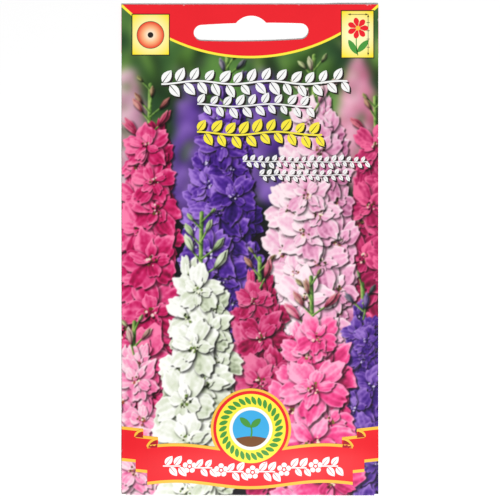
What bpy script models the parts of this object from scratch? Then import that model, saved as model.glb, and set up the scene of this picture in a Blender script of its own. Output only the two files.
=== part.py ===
"""A seed packet with a hanging header: one sheet of paper folded into a flat tube, glued along
its seam, its bottom flap and its header, with a slot punched through the header and loose seeds
inside. The packet lies on its back. X runs across it to the right of its printed front, Y runs
up it, and Z points out of the printed front. The origin is the middle of the back, at the
height of the lowest face."""

import math
import random

import bmesh
import bpy
import numpy as np
from mathutils import Euler, Vector

MM = 0.001

# The packet
PACKET_WIDTH = 80.0 * MM
PACKET_HEIGHT = 153.0 * MM
PAPER = 0.15 * MM
GLUE_GAP = 0.12 * MM
LAYER_STEP = PAPER + GLUE_GAP
FOLD_SEGMENTS = 6

# The seam flap, behind the right edge, and the back panel's free edge that lies on it
SEAM_FLAP_FREE_EDGE = 30.0 * MM
SEAM_RAMP_START = 22.0 * MM
SEAM_RAMP_END = 28.5 * MM
BACK_FREE_EDGE = 39.0 * MM

# The bottom flap, folded up behind the tube's cut end
FLAP_HEIGHT = 12.0 * MM
FLAP_HALF_WIDTH = 38.7 * MM
FLAP_TIP_HALF_WIDTH = 33.0 * MM
FLAP_RAMP_START = 13.0 * MM
FLAP_RAMP_END = 21.0 * MM
TUBE_CUT_END = 0.6 * MM

# The pouch, which the seeds and the air inside hold open
POUCH_RISE = 2.2 * MM
POUCH_HALF_WIDTH = 39.3 * MM
POUCH_CROWN_POWER = 2.6
POUCH_FULL_FROM = 22.0 * MM
POUCH_FULL_TO = 85.0 * MM
HEADER_START = 128.0 * MM
EDGE_OPENING = 0.35 * MM
EDGE_OPENS = (2.0 * MM, 14.0 * MM)
EDGE_CLOSES = (112.0 * MM, 126.0 * MM)

# The hanging slot: a band with round ends and bowed edges, and a dome over its middle
SLOT_CENTRE_X = 0.36 * MM
SLOT_CENTRE_BELOW_TOP = 8.6 * MM
SLOT_TURN = math.radians(0.9)
SLOT_HALF_LENGTH = 17.9 * MM
SLOT_END_RADIUS = 2.5 * MM
SLOT_BOW = 0.4 * MM
DOME_HALF_WIDTH = 4.7 * MM
DOME_RISE = 2.25 * MM
SLOT_EDGE_STEPS = 5
SLOT_ROUND_STEPS = 8
CUTTER_BELOW = 2.0 * MM
CUTTER_HEIGHT = 5.0 * MM

# The glue films
GLUE_FILM = 0.06 * MM
SEAM_GLUE_X = (30.6 * MM, 38.2 * MM)
SEAM_GLUE_Y = (2.0 * MM, 151.5 * MM)
FLAP_GLUE_HALF_WIDTH = 32.0 * MM
FLAP_GLUE_Y = (2.0 * MM, 11.2 * MM)
HEADER_GLUE_X = 38.4 * MM
HEADER_GLUE_Y = (129.5 * MM, 151.5 * MM)

# The seeds, which have slid down towards the bottom of the pouch
SEED_COUNT = 36
SEED_RADII = (1.12 * MM, 0.82 * MM, 0.62 * MM)
SEED_SIZE_SPREAD = 0.12
SEED_RIDGE = 0.16
SEED_RIDGES = 3
SEED_DENT = 0.07
SEED_TILT = 0.25
SEED_SPACING = 2.9 * MM
SEED_REACH = 1.4 * MM
SEED_CLEARANCE = 0.05 * MM
SEED_HEADROOM = 0.15 * MM
SEED_FIELD_X = 28.0 * MM
SEED_FIELD_Y = (15.0 * MM, 62.0 * MM)
SEED_RANDOM = 21


def smoothstep(start, end, value):
    """Rises from 0 at start to 1 at end, level at both."""
    share = min(max((value - start) / (end - start), 0.0), 1.0)
    return share * share * (3.0 - 2.0 * share)


def flap_lift(y):
    """1 where the tube lies on the bottom flap, 0 above it."""
    return 1.0 - smoothstep(FLAP_RAMP_START, FLAP_RAMP_END, y)


def seam_lift(x):
    """1 where the back panel lies on the seam flap, 0 left of it."""
    return smoothstep(SEAM_RAMP_START, SEAM_RAMP_END, x)


def edge_opening(y):
    """How far the pouch holds the two folded edges open."""
    return EDGE_OPENING * smoothstep(*EDGE_OPENS, y) * (1.0 - smoothstep(*EDGE_CLOSES, y))


def pouch_rise(x, y):
    """How far the pouch lifts the front panel."""
    across = 1.0 - min(abs(x) / POUCH_HALF_WIDTH, 1.0) ** POUCH_CROWN_POWER
    along = smoothstep(0.0, POUCH_FULL_FROM, y) * (1.0 - smoothstep(POUCH_FULL_TO, HEADER_START, y))
    return POUCH_RISE * across * along


def seam_flap_z(y):
    """The height of the middle of the seam flap's paper; y is measured from the bottom edge."""
    return PAPER / 2 + LAYER_STEP * flap_lift(y)


def back_z(x, y):
    """The height of the middle of the back panel's paper."""
    return seam_flap_z(y) + LAYER_STEP * seam_lift(x)


def front_z(x, y):
    """The height of the middle of the front panel's paper."""
    return back_z(x, y) + LAYER_STEP + edge_opening(y) + pouch_rise(x, y)


def panel_columns():
    """Where the panels' points stand across the packet."""
    body = np.linspace(-FLAP_HALF_WIDTH, SEAM_RAMP_START, 13)
    ramp = np.linspace(SEAM_RAMP_START, SEAM_RAMP_END, 4)
    edge = np.linspace(SEAM_RAMP_END, FLAP_HALF_WIDTH, 4)
    inner = [*body, *ramp[1:], *edge[1:]]
    return [-POUCH_HALF_WIDTH, *map(float, inner), POUCH_HALF_WIDTH]


def tube_rows():
    """Where the tube's points stand up the packet."""
    on_flap = np.linspace(TUBE_CUT_END, FLAP_RAMP_START, 5)
    off_flap = np.linspace(FLAP_RAMP_START, FLAP_RAMP_END, 5)
    pouch = np.linspace(FLAP_RAMP_END, POUCH_FULL_TO, 8)
    shoulder = np.linspace(POUCH_FULL_TO, HEADER_START, 8)
    rows = [*on_flap, *off_flap[1:], *pouch[1:], *shoulder[1:], PACKET_HEIGHT]
    return [float(y) for y in rows]


def fold_points(y, side, from_z, to_z):
    """A half circle of paper at one side edge, between two layers' heights."""
    radius = abs(to_z - from_z) / 2
    centre_x = side * (PACKET_WIDTH / 2 - PAPER / 2 - radius)
    rising = math.copysign(1.0, to_z - from_z)
    points = []
    for step in range(FOLD_SEGMENTS + 1):
        angle = math.pi * (step / FOLD_SEGMENTS - 0.5)
        x = centre_x + side * radius * math.cos(angle)
        z = (from_z + to_z) / 2 + rising * radius * math.sin(angle)
        points.append(Vector((x, y, z)))
    return points


def tube_row(y):
    """One row round the tube: back panel, left fold, front panel, right fold, seam flap."""
    columns = panel_columns()
    half_width = PACKET_WIDTH / 2
    left = fold_points(y, -1, back_z(-half_width, y), front_z(-half_width, y))
    right = fold_points(y, 1, front_z(half_width, y), seam_flap_z(y))
    back_columns = [*columns[:-1], BACK_FREE_EDGE]
    back = [Vector((x, y, back_z(x, y))) for x in reversed(back_columns)]
    front = [Vector((x, y, front_z(x, y))) for x in columns]
    seam_columns = [x for x in reversed(columns) if x > SEAM_FLAP_FREE_EDGE]
    seam = [Vector((x, y, seam_flap_z(y))) for x in [*seam_columns, SEAM_FLAP_FREE_EDGE]]
    return back + left + front + right + seam


def bottom_fold_centre(x):
    """The half circle at the bottom edge: its centre height and its radius."""
    top = front_z(x, TUBE_CUT_END)
    radius = (top - PAPER / 2) / 2
    return PAPER / 2 + radius, radius


def flap_point(x, step):
    """A point on the bottom fold, from the flap's side (step 0) to the front's."""
    centre_z, radius = bottom_fold_centre(x)
    angle = math.pi * (step / FOLD_SEGMENTS - 0.5)
    y = PAPER / 2 + radius - radius * math.cos(angle)
    return Vector((x, y, centre_z + radius * math.sin(angle)))


def flap_rows():
    """The bottom flap from its free edge to the fold, and the fold up to the front panel."""
    columns = [x for x in panel_columns() if abs(x) <= FLAP_HALF_WIDTH]
    rows = []
    for y in (FLAP_HEIGHT, FLAP_HEIGHT / 2):
        taper = 1.0 - (1.0 - FLAP_TIP_HALF_WIDTH / FLAP_HALF_WIDTH) * y / FLAP_HEIGHT
        rows.append([Vector((x * taper, y, PAPER / 2)) for x in columns])
    for step in range(FOLD_SEGMENTS + 1):
        rows.append([flap_point(x, step) for x in columns])
    return rows


def new_material(name, colour, roughness):
    """A Principled BSDF with a plain colour."""
    material = bpy.data.materials.new(name)
    material.use_nodes = True
    shader = material.node_tree.nodes["Principled BSDF"]
    shader.inputs["Base Color"].default_value = (*colour, 1.0)
    shader.inputs["Roughness"].default_value = roughness
    shader.inputs["Metallic"].default_value = 0.0
    return material


def new_object(name, mesh, material=None):
    """A scene object placed so that the packet's middle is at the origin."""
    made = bpy.data.objects.new(name, mesh)
    made.location.y = -PACKET_HEIGHT / 2
    bpy.context.scene.collection.objects.link(made)
    if material:
        mesh.materials.append(material)
    return made


def join_rows(mesh, rows):
    """Fills the faces between neighbouring rows of vertices."""
    for lower, upper in zip(rows, rows[1:]):
        for step in range(len(lower) - 1):
            mesh.faces.new((lower[step], lower[step + 1], upper[step + 1], upper[step]))


def sheet_object(name, mesh, thickness, material):
    """A closed sheet of the given thickness round the surface in the bmesh."""
    data = bpy.data.meshes.new(name)
    mesh.to_mesh(data)
    mesh.free()
    made = new_object(name, data, material)
    solidify = made.modifiers.new("paper_thickness", "SOLIDIFY")
    solidify.thickness = thickness
    solidify.offset = 0.0
    solidify.use_even_offset = True
    return made


def punch(made, cutter):
    """Cuts the cutter's shape out of an object."""
    boolean = made.modifiers.new("hanging_slot", "BOOLEAN")
    boolean.operation = "DIFFERENCE"
    boolean.solver = "EXACT"
    boolean.object = cutter


def slot_half_height(x):
    """Half the height of the slot's band, which bows out towards its middle."""
    straight = SLOT_HALF_LENGTH - SLOT_END_RADIUS
    return SLOT_END_RADIUS + SLOT_BOW * (1.0 - (x / straight) ** 2)


def slot_outline():
    """The slot's outline round its own centre, anticlockwise from the bottom left."""
    straight = SLOT_HALF_LENGTH - SLOT_END_RADIUS
    bottom = [(x, -slot_half_height(x)) for x in np.linspace(-straight, straight, 2 * SLOT_EDGE_STEPS + 1)]
    right_top = [(x, slot_half_height(x)) for x in np.linspace(straight, DOME_HALF_WIDTH, SLOT_EDGE_STEPS)]
    left_top = [(-x, y) for x, y in reversed(right_top)]
    right_end = []
    for step in range(1, SLOT_ROUND_STEPS):
        angle = math.pi * (step / SLOT_ROUND_STEPS - 0.5)
        right_end.append((straight + SLOT_END_RADIUS * math.cos(angle), SLOT_END_RADIUS * math.sin(angle)))
    left_end = [(-x, -y) for x, y in right_end]
    dome_radius = (DOME_HALF_WIDTH**2 + DOME_RISE**2) / (2 * DOME_RISE)
    dome_centre = slot_half_height(DOME_HALF_WIDTH) + DOME_RISE - dome_radius
    half_angle = math.asin(DOME_HALF_WIDTH / dome_radius)
    dome = []
    for step in range(1, SLOT_ROUND_STEPS):
        angle = half_angle * (1.0 - 2.0 * step / SLOT_ROUND_STEPS)
        dome.append((dome_radius * math.sin(angle), dome_centre + dome_radius * math.cos(angle)))
    return [*bottom, *right_end, *right_top, *dome, *left_top, *left_end]


def make_slot_cutter():
    """A prism of the slot's outline, turned a little as it is punched."""
    mesh = bmesh.new()
    turn = Euler((0.0, 0.0, SLOT_TURN)).to_matrix()
    centre = Vector((SLOT_CENTRE_X, PACKET_HEIGHT - SLOT_CENTRE_BELOW_TOP, -CUTTER_BELOW))
    bottom = [mesh.verts.new(centre + turn @ Vector((x, y, 0.0))) for x, y in slot_outline()]
    face = mesh.faces.new(bottom)
    raised = bmesh.ops.extrude_face_region(mesh, geom=[face])["geom"]
    top = [piece for piece in raised if isinstance(piece, bmesh.types.BMVert)]
    bmesh.ops.translate(mesh, verts=top, vec=(0.0, 0.0, CUTTER_HEIGHT))
    bmesh.ops.recalc_face_normals(mesh, faces=mesh.faces)
    data = bpy.data.meshes.new("slot_cutter")
    mesh.to_mesh(data)
    mesh.free()
    cutter = new_object("slot_cutter", data)
    cutter.hide_render = True
    cutter.display_type = "WIRE"
    return cutter


def make_packet_paper(material, cutter):
    """The folded sheet: back panel, front panel, seam flap and bottom flap in one piece."""
    mesh = bmesh.new()
    tube = [[mesh.verts.new(point) for point in tube_row(y)] for y in tube_rows()]
    join_rows(mesh, tube)
    columns = panel_columns()
    front_start = len(columns) + FOLD_SEGMENTS + 1
    first = front_start + columns.index(-FLAP_HALF_WIDTH)
    last = front_start + columns.index(FLAP_HALF_WIDTH)
    flap = [[mesh.verts.new(point) for point in row] for row in flap_rows()]
    join_rows(mesh, [*flap, tube[0][first : last + 1]])
    packet = sheet_object("packet_paper", mesh, PAPER, material)
    punch(packet, cutter)
    return packet


def film_object(name, columns, rows, height, material):
    """A glue film whose middle is at height(x, y)."""
    mesh = bmesh.new()
    grid = [[mesh.verts.new((x, y, height(x, y))) for x in columns] for y in rows]
    join_rows(mesh, grid)
    return sheet_object(name, mesh, GLUE_FILM, material)


def make_seam_glue(material):
    """The film between the seam flap and the back panel."""
    start, end = SEAM_GLUE_Y
    rows = [start, *[y for y in tube_rows() if start < y < end], end]

    def height(x, y):
        return seam_flap_z(y) + LAYER_STEP / 2

    return film_object("seam_glue", SEAM_GLUE_X, rows, height, material)


def make_flap_glue(material):
    """The film between the bottom flap and the tube's end."""

    def height(x, y):
        return PAPER / 2 + LAYER_STEP / 2

    columns = (-FLAP_GLUE_HALF_WIDTH, FLAP_GLUE_HALF_WIDTH)
    return film_object("bottom_flap_glue", columns, FLAP_GLUE_Y, height, material)


def make_header_glue(material, cutter):
    """The film that closes the header between its front and its back, punched with it."""
    inner = [x for x in panel_columns() if abs(x) < HEADER_GLUE_X]

    def height(x, y):
        return back_z(x, y) + LAYER_STEP / 2

    columns = [-HEADER_GLUE_X, *inner, HEADER_GLUE_X]
    film = film_object("header_glue", columns, HEADER_GLUE_Y, height, material)
    punch(film, cutter)
    return film


def seed_mesh(name, chance):
    """An angular seed with lengthwise ridges and dents, round its own centre."""
    mesh = bmesh.new()
    bmesh.ops.create_icosphere(mesh, subdivisions=2, radius=1.0)
    size = 1.0 + chance.uniform(-SEED_SIZE_SPREAD, SEED_SIZE_SPREAD)
    turn = chance.uniform(0.0, math.tau)
    tilt = Euler((chance.uniform(-SEED_TILT, SEED_TILT), chance.uniform(-SEED_TILT, SEED_TILT), turn))
    phase = chance.uniform(0.0, math.tau)
    for vert in mesh.verts:
        around = math.atan2(vert.co.z, vert.co.y)
        ridge = SEED_RIDGE * (abs(math.cos(SEED_RIDGES * around / 2 + phase)) - 0.5)
        dent = chance.uniform(-SEED_DENT, SEED_DENT)
        swell = size * (1.0 + ridge + dent)
        vert.co = Vector(swell * part * radius for part, radius in zip(vert.co, SEED_RADII))
        vert.co.rotate(tilt)
    data = bpy.data.meshes.new(name)
    mesh.to_mesh(data)
    mesh.free()
    return data


def seed_floor(x, y):
    """The highest that the back panel's inner face comes under a seed."""
    return back_z(x + SEED_REACH, y - SEED_REACH) + PAPER / 2


def seed_ceiling(x, y):
    """The lowest that the front panel's inner face comes over a seed."""
    corners = [(x + dx, y + dy) for dx in (-SEED_REACH, SEED_REACH) for dy in (-SEED_REACH, SEED_REACH)]
    return min(front_z(*corner) for corner in corners) - PAPER / 2


def place_seed(mesh, taken, chance):
    """A free place for the seed on the back panel, under enough headroom."""
    lowest = min(vert.co.z for vert in mesh.vertices)
    tall = max(vert.co.z for vert in mesh.vertices) - lowest
    while True:
        x = chance.uniform(-SEED_FIELD_X, SEED_FIELD_X)
        y = chance.triangular(*SEED_FIELD_Y, SEED_FIELD_Y[0])
        floor = seed_floor(x, y) + SEED_CLEARANCE
        if floor + tall + SEED_HEADROOM > seed_ceiling(x, y):
            continue
        if all((Vector((x, y)) - place).length > SEED_SPACING for place in taken):
            taken.append(Vector((x, y)))
            return Vector((x, y, floor - lowest))


def make_seeds(material):
    """Loose seeds lying on the inside of the back panel."""
    chance = random.Random(SEED_RANDOM)
    taken = []
    for number in range(1, SEED_COUNT + 1):
        name = f"seed_{number:02d}"
        mesh = seed_mesh(name, chance)
        seed = new_object(name, mesh, material)
        seed.location += place_seed(mesh, taken, chance)


def main():
    for old in list(bpy.data.objects):
        bpy.data.objects.remove(old)
    paper = new_material("coated_paper", (0.93, 0.90, 0.90), 0.42)
    glue = new_material("dried_glue", (0.86, 0.80, 0.66), 0.35)
    seed_coat = new_material("seed_coat", (0.055, 0.040, 0.030), 0.75)
    cutter = make_slot_cutter()
    make_packet_paper(paper, cutter)
    make_seam_glue(glue)
    make_flap_glue(glue)
    make_header_glue(glue, cutter)
    make_seeds(seed_coat)


main()
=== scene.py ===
"""The looks of a seed packet with a hanging header, laid out as an add-on: the folded sheet, its
printed front and back, the glue and the seeds. Lengths are in metres. Across is measured from
the packet's middle to the right of its front, and up from its bottom edge."""

import math
import random
from contextlib import contextmanager

import bmesh
import bpy
import numpy as np
from bpy.props import FloatProperty, FloatVectorProperty, IntProperty, PointerProperty
from mathutils import Matrix, Vector
from mathutils.geometry import delaunay_2d_cdt


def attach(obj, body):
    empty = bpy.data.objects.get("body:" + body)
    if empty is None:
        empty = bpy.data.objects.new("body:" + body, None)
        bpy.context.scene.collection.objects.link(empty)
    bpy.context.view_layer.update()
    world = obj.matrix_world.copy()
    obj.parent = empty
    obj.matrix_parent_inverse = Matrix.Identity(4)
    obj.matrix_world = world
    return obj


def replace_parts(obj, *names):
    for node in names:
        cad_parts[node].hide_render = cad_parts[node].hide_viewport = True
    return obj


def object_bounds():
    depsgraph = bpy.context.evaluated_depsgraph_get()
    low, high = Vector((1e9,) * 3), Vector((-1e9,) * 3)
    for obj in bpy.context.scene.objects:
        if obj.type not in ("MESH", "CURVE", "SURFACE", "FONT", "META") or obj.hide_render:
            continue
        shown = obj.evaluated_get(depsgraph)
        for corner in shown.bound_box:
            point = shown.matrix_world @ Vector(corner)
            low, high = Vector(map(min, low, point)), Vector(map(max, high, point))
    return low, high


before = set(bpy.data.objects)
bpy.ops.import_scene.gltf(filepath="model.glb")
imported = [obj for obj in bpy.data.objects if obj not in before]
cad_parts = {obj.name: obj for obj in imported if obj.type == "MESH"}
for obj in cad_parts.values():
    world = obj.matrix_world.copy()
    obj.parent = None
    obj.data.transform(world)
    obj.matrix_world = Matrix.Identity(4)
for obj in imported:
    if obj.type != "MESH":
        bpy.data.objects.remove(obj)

bl_info = {
    "name": "Seed packet looks",
    "version": (1, 0, 0),
    "blender": (4, 5, 0),
    "location": "3D View > Sidebar > Seed packet",
    "description": "Dresses a folded paper seed packet with its print, glue and seeds",
    "category": "Object",
}

MM = 0.001
LOW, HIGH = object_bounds()
WIDTH = round(HIGH.x - LOW.x, 4)
HEIGHT = round(HIGH.y - LOW.y, 4)
HALF = WIDTH / 2

# Where the sheet's layers step over each other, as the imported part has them
SEAM_FLAP_FREE_EDGE = 30.0 * MM
SEAM_RAMP = (22.0 * MM, 28.5 * MM)
BACK_FREE_EDGE = 39.0 * MM
FLAP_HEIGHT = 12.0 * MM
FLAP_HALF_WIDTH = 38.7 * MM
FLAP_TIP_HALF_WIDTH = 33.0 * MM
FLAP_LAST_ROW = 1.0 * MM
FLAP_RAMP = (13.0 * MM, 21.0 * MM)
TUBE_CUT_END = 0.6 * MM
POUCH_HALF_WIDTH = 39.3 * MM
POUCH_CROWN_POWER = 2.6
POUCH_FULL = (22.0 * MM, 85.0 * MM)
HEADER_START = 128.0 * MM
EDGE_OPENS = (2.0 * MM, 14.0 * MM)
EDGE_CLOSES = (112.0 * MM, 126.0 * MM)
FOLD_SEGMENTS = 8

# Columns of points that follow the print round the side folds, by their distance from the edge
FOLD_INSETS = (0.7, 0.56, 0.48, 0.4, 0.32, 0.24, 0.16, 0.08)
FOLD_COLUMNS = tuple((HALF / MM - inset) * MM for inset in FOLD_INSETS)
FLAT_HALF = FOLD_COLUMNS[0]

# The hanging slot
SLOT_CENTRE = (0.36 * MM, HEIGHT - 8.6 * MM)
SLOT_TURN = math.radians(0.9)
SLOT_HALF_LENGTH = 17.9 * MM
SLOT_END_RADIUS = 2.5 * MM
SLOT_BOW = 0.4 * MM
DOME_HALF_WIDTH = 4.7 * MM
DOME_RISE = 2.25 * MM
PUNCH_FROM = -1.0 * MM
PUNCH_HEIGHT = 3.0 * MM

# The header: a red field over a yellow arc through both top corners
ARC_SAG = 16.2 * MM
ARC_RADIUS = (HALF**2 + ARC_SAG**2) / (2 * ARC_SAG)
ARC_CENTRE = HEIGHT - ARC_SAG + ARC_RADIUS
ARC_LINE = 0.75 * MM


def rise(start, end, value):
    """Goes from 0 at start to 1 at end, level at both, for numbers or arrays."""
    share = np.clip((value - start) / (end - start), 0.0, 1.0)
    return share * share * (3.0 - 2.0 * share)


def together(across, up):
    return np.broadcast_arrays(np.asarray(across, float), np.asarray(up, float))


def round_fold(fold, place, flat, reach, over):
    """Takes places past a fold's start round its curve, over (1) or under (-1) the fold.
    Gives how far out they end, and how high: flat is the height of those before the fold."""
    middle, radius, start = fold
    turn = np.clip((place - start) / radius, 0.0, math.pi / 2)
    out = np.where(turn > 0, start + (radius + reach) * np.sin(turn), place)
    return out, np.where(turn > 0, middle + over * (radius + reach) * np.cos(turn), flat)


class FoldedSheet:
    """Where the folded paper lies: the height of the middle of each layer's paper."""

    def __init__(self):
        shape = bpy.context.scene.packet_shape
        self.paper = shape.paper
        self.step = shape.paper + shape.glue_gap
        self.pouch_rise = shape.pouch_rise
        self.opening = shape.edge_opening
        self.ink_lift = shape.ink_lift

    def seam(self, up):
        return self.paper / 2 + self.step * (1.0 - rise(*FLAP_RAMP, up))

    def back(self, across, up):
        return self.seam(up) + self.step * rise(*SEAM_RAMP, across)

    def front(self, across, up):
        crown = 1.0 - np.minimum(np.abs(across) / POUCH_HALF_WIDTH, 1.0) ** POUCH_CROWN_POWER
        along = rise(0.0, POUCH_FULL[0], up) * (1.0 - rise(POUCH_FULL[1], HEADER_START, up))
        edge = self.opening * rise(*EDGE_OPENS, up) * (1.0 - rise(*EDGE_CLOSES, up))
        return self.back(across, up) + self.step + edge + self.pouch_rise * crown * along

    def side_fold(self, side, up):
        """The height of a side fold's middle, its radius, and how far out it starts."""
        top = self.front(side * HALF, up)
        bottom = np.where(side < 0, self.back(-HALF, up), self.seam(up))
        radius = (top - bottom) / 2
        return (top + bottom) / 2, radius, HALF - self.paper / 2 - radius

    def bottom_fold(self, across):
        """The height of the bottom fold's middle, its radius, and how far down it starts."""
        radius = (self.front(across, TUBE_CUT_END) - self.paper / 2) / 2
        return self.paper / 2 + radius, radius, -(self.paper / 2 + radius)

    def over_front(self, across, up, lift):
        """Points lifted off the printed front and round the outer half of its folds."""
        across, up = together(across, up)
        reach = self.paper / 2 + lift
        side = np.where(across < 0, -1.0, 1.0)
        flat = self.front(across, up) + reach
        out, z = round_fold(self.side_fold(side, up), np.abs(across), flat, reach, 1)
        down, z = round_fold(self.bottom_fold(across), -up, z, reach, 1)
        return np.stack([side * out, -down - HEIGHT / 2, z], axis=-1)

    def under_side(self, side, layer, across, up, lift):
        """Points lifted off the outside of a back layer and the lower half of its side's fold."""
        across, up = together(across, up)
        reach = self.paper / 2 + lift
        flat = layer(across, up) - reach
        out, z = round_fold(self.side_fold(side, up), side * across, flat, reach, -1)
        return np.stack([side * out, up - HEIGHT / 2, z], axis=-1)

    def under_back(self, across, up, lift):
        return self.under_side(-1.0, self.back, across, up, lift)

    def under_seam(self, across, up, lift):
        return self.under_side(1.0, lambda _, height: self.seam(height), across, up, lift)

    def under_flap(self, across, up, lift):
        """Points lifted off the outside of the bottom flap and the lower half of its fold."""
        across, up = together(across, up)
        reach = self.paper / 2 + lift
        down, z = round_fold(self.bottom_fold(across), -up, self.paper / 2 - reach, reach, -1)
        return np.stack([across, -down - HEIGHT / 2, z], axis=-1)


def length_property(name, description, millimetres):
    return FloatProperty(name=name, description=description, default=millimetres * MM, unit="LENGTH")


def colour_property(name, description, default):
    return FloatVectorProperty(
        name=name, description=description, default=default, subtype="COLOR", min=0, max=1
    )


def share_property(name, description, default):
    return FloatProperty(name=name, description=description, default=default, min=0, max=1)


class PacketShape(bpy.types.PropertyGroup):
    """Sizes of the folded sheet."""

    paper: length_property("Paper", "Thickness of the paper", 0.15)
    glue_gap: length_property("Glue gap", "Room for glue between two layers", 0.12)
    pouch_rise: length_property("Pouch rise", "How far the pouch lifts the front", 2.2)
    edge_opening: length_property("Edge opening", "How far the pouch opens its edges", 0.35)
    ink_lift: length_property("Ink lift", "Height of one layer of print over the last", 0.025)
    mesh_step: length_property("Mesh step", "Spacing of the sheet's points", 1.3)


class PrintColours(bpy.types.PropertyGroup):
    """The inks of the plain print and how the coated paper takes them."""

    red: colour_property("Red", "The header and the scroll", (0.86, 0.014, 0.024))
    shade: colour_property("Shade", "The red ink where the scroll folds", (0.42, 0.012, 0.02))
    yellow: colour_property("Yellow", "The arc and a row of leaves", (1.0, 0.86, 0.06))
    gold: colour_property("Gold", "The scroll's borders", (1.0, 0.56, 0.06))
    white: colour_property("White", "Light ornament", (0.95, 0.95, 0.94))
    dark: colour_property("Dark", "Outlines and shadows", (0.02, 0.014, 0.012))
    green: colour_property("Green", "Leaves and frames", (0.07, 0.32, 0.05))
    sky: colour_property("Sky", "The medallion's disc", (0.05, 0.43, 0.80))
    soil: colour_property("Soil", "The medallion's ground", (0.20, 0.075, 0.02))
    cream: colour_property("Cream", "The back's plain ground", (0.93, 0.90, 0.78))
    grey: colour_property("Grey", "Ruled lines on the back", (0.35, 0.36, 0.34))
    gloss: share_property("Roughness", "Roughness of the coated print", 0.46)
    wear: share_property("Edge wear", "How far ink has rubbed off the edges", 0.24)


class FlowerPicture(bpy.types.PropertyGroup):
    """The printed flower picture."""

    cell: length_property("Cell", "Spacing of the picture's colour points", 0.25)
    seed: IntProperty(name="Seed", description="Seed of every random draw in the picture", default=5)


class SeedLook(bpy.types.PropertyGroup):
    """The loose seeds."""

    wrinkle: length_property("Wrinkles", "Depth of the seed coat's wrinkles", 0.09)
    coat: colour_property("Coat", "Colour of the seed coat", (0.055, 0.036, 0.024))


class StageLook(bpy.types.PropertyGroup):
    """The floor, the lights and the camera."""

    frame_height: length_property("Frame", "Height of the floor that the picture takes in", 155.9)
    lens: FloatProperty(
        name="Lens", description="Focal length on a 36 mm sensor", default=200.0, unit="CAMERA"
    )
    sky: FloatProperty(name="Sky", description="Strength of the even light", default=0.31)
    key: FloatProperty(name="Key", description="Power of the key light in watts", default=38.5)


class Graph:
    """Adds nodes to a tree and feeds their inputs, in order, with links or plain values."""

    def __init__(self, tree):
        self.tree = tree

    def feed(self, socket, value):
        if isinstance(value, bpy.types.NodeSocket):
            self.tree.links.new(value, socket)
        elif value is not None:
            socket.default_value = value

    def add(self, kind, *values, **settings):
        node = self.tree.nodes.new(kind)
        for name, value in settings.items():
            setattr(node, name, value)
        for socket, value in zip([s for s in node.inputs if s.enabled], values):
            self.feed(socket, value)
        return node

    def named(self, kind, values, **settings):
        """Adds a node and feeds the inputs that are named."""
        node = self.add(kind, **settings)
        for label, value in values.items():
            self.feed(next(s for s in node.inputs if s.enabled and s.name == label), value)
        return node

    def math(self, operation, *values, **settings):
        return self.add("ShaderNodeMath", *values, operation=operation, **settings).outputs[0]

    def vector(self, operation, *values):
        node = self.add("ShaderNodeVectorMath", *values, operation=operation)
        return next(socket for socket in node.outputs if socket.enabled)

    def combined(self, *values):
        return self.add("ShaderNodeCombineXYZ", *values).outputs[0]

    def parts(self, value):
        return self.add("ShaderNodeSeparateXYZ", value).outputs

    def coordinates(self):
        return self.add("ShaderNodeTexCoord").outputs["Object"]

    def position(self):
        return self.add("GeometryNodeInputPosition").outputs[0]

    def noise(self, place, scale, detail=2.0):
        values = {"Vector": place, "Scale": scale, "Detail": detail}
        return self.named("ShaderNodeTexNoise", values).outputs[0]

    def bump(self, height, strength, distance):
        values = {"Strength": strength, "Distance": distance, "Height": height}
        return self.named("ShaderNodeBump", values).outputs[0]

    def smooth(self, value, start, end, low=0.0, high=1.0):
        node = self.add("ShaderNodeMapRange", interpolation_type="SMOOTHSTEP")
        for socket, number in zip(node.inputs, (value, start, end, low, high)):
            self.feed(socket, number)
        return node.outputs[0]

    def blend(self, share, first, second):
        node = self.add("ShaderNodeMix", data_type="RGBA")
        for name, value in (("Factor_Float", share), ("A_Color", first), ("B_Color", second)):
            self.feed(next(s for s in node.inputs if s.identifier == name), value)
        return next(s for s in node.outputs if s.identifier == "Result_Color")


def opaque(colour):
    return (*colour[:3], 1.0)


def new_group(name, inputs, outputs, kind="ShaderNodeTree"):
    """An empty node group with named sockets, each (name, type, default)."""
    tree = bpy.data.node_groups.new(name, kind)
    for label, socket_type, default in inputs:
        socket = tree.interface.new_socket(label, in_out="INPUT", socket_type=socket_type)
        if default is not None:
            socket.default_value = default
    for label, socket_type in outputs:
        tree.interface.new_socket(label, in_out="OUTPUT", socket_type=socket_type)
    graph = Graph(tree)
    return tree, graph, graph.add("NodeGroupInput").outputs, graph.add("NodeGroupOutput").inputs


BARE_PAPER = (0.86, 0.84, 0.84, 1.0)
RUBBED_WIDTH = 0.9 * MM
RUBBED_OFF = (0.84, 1.02)


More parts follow.
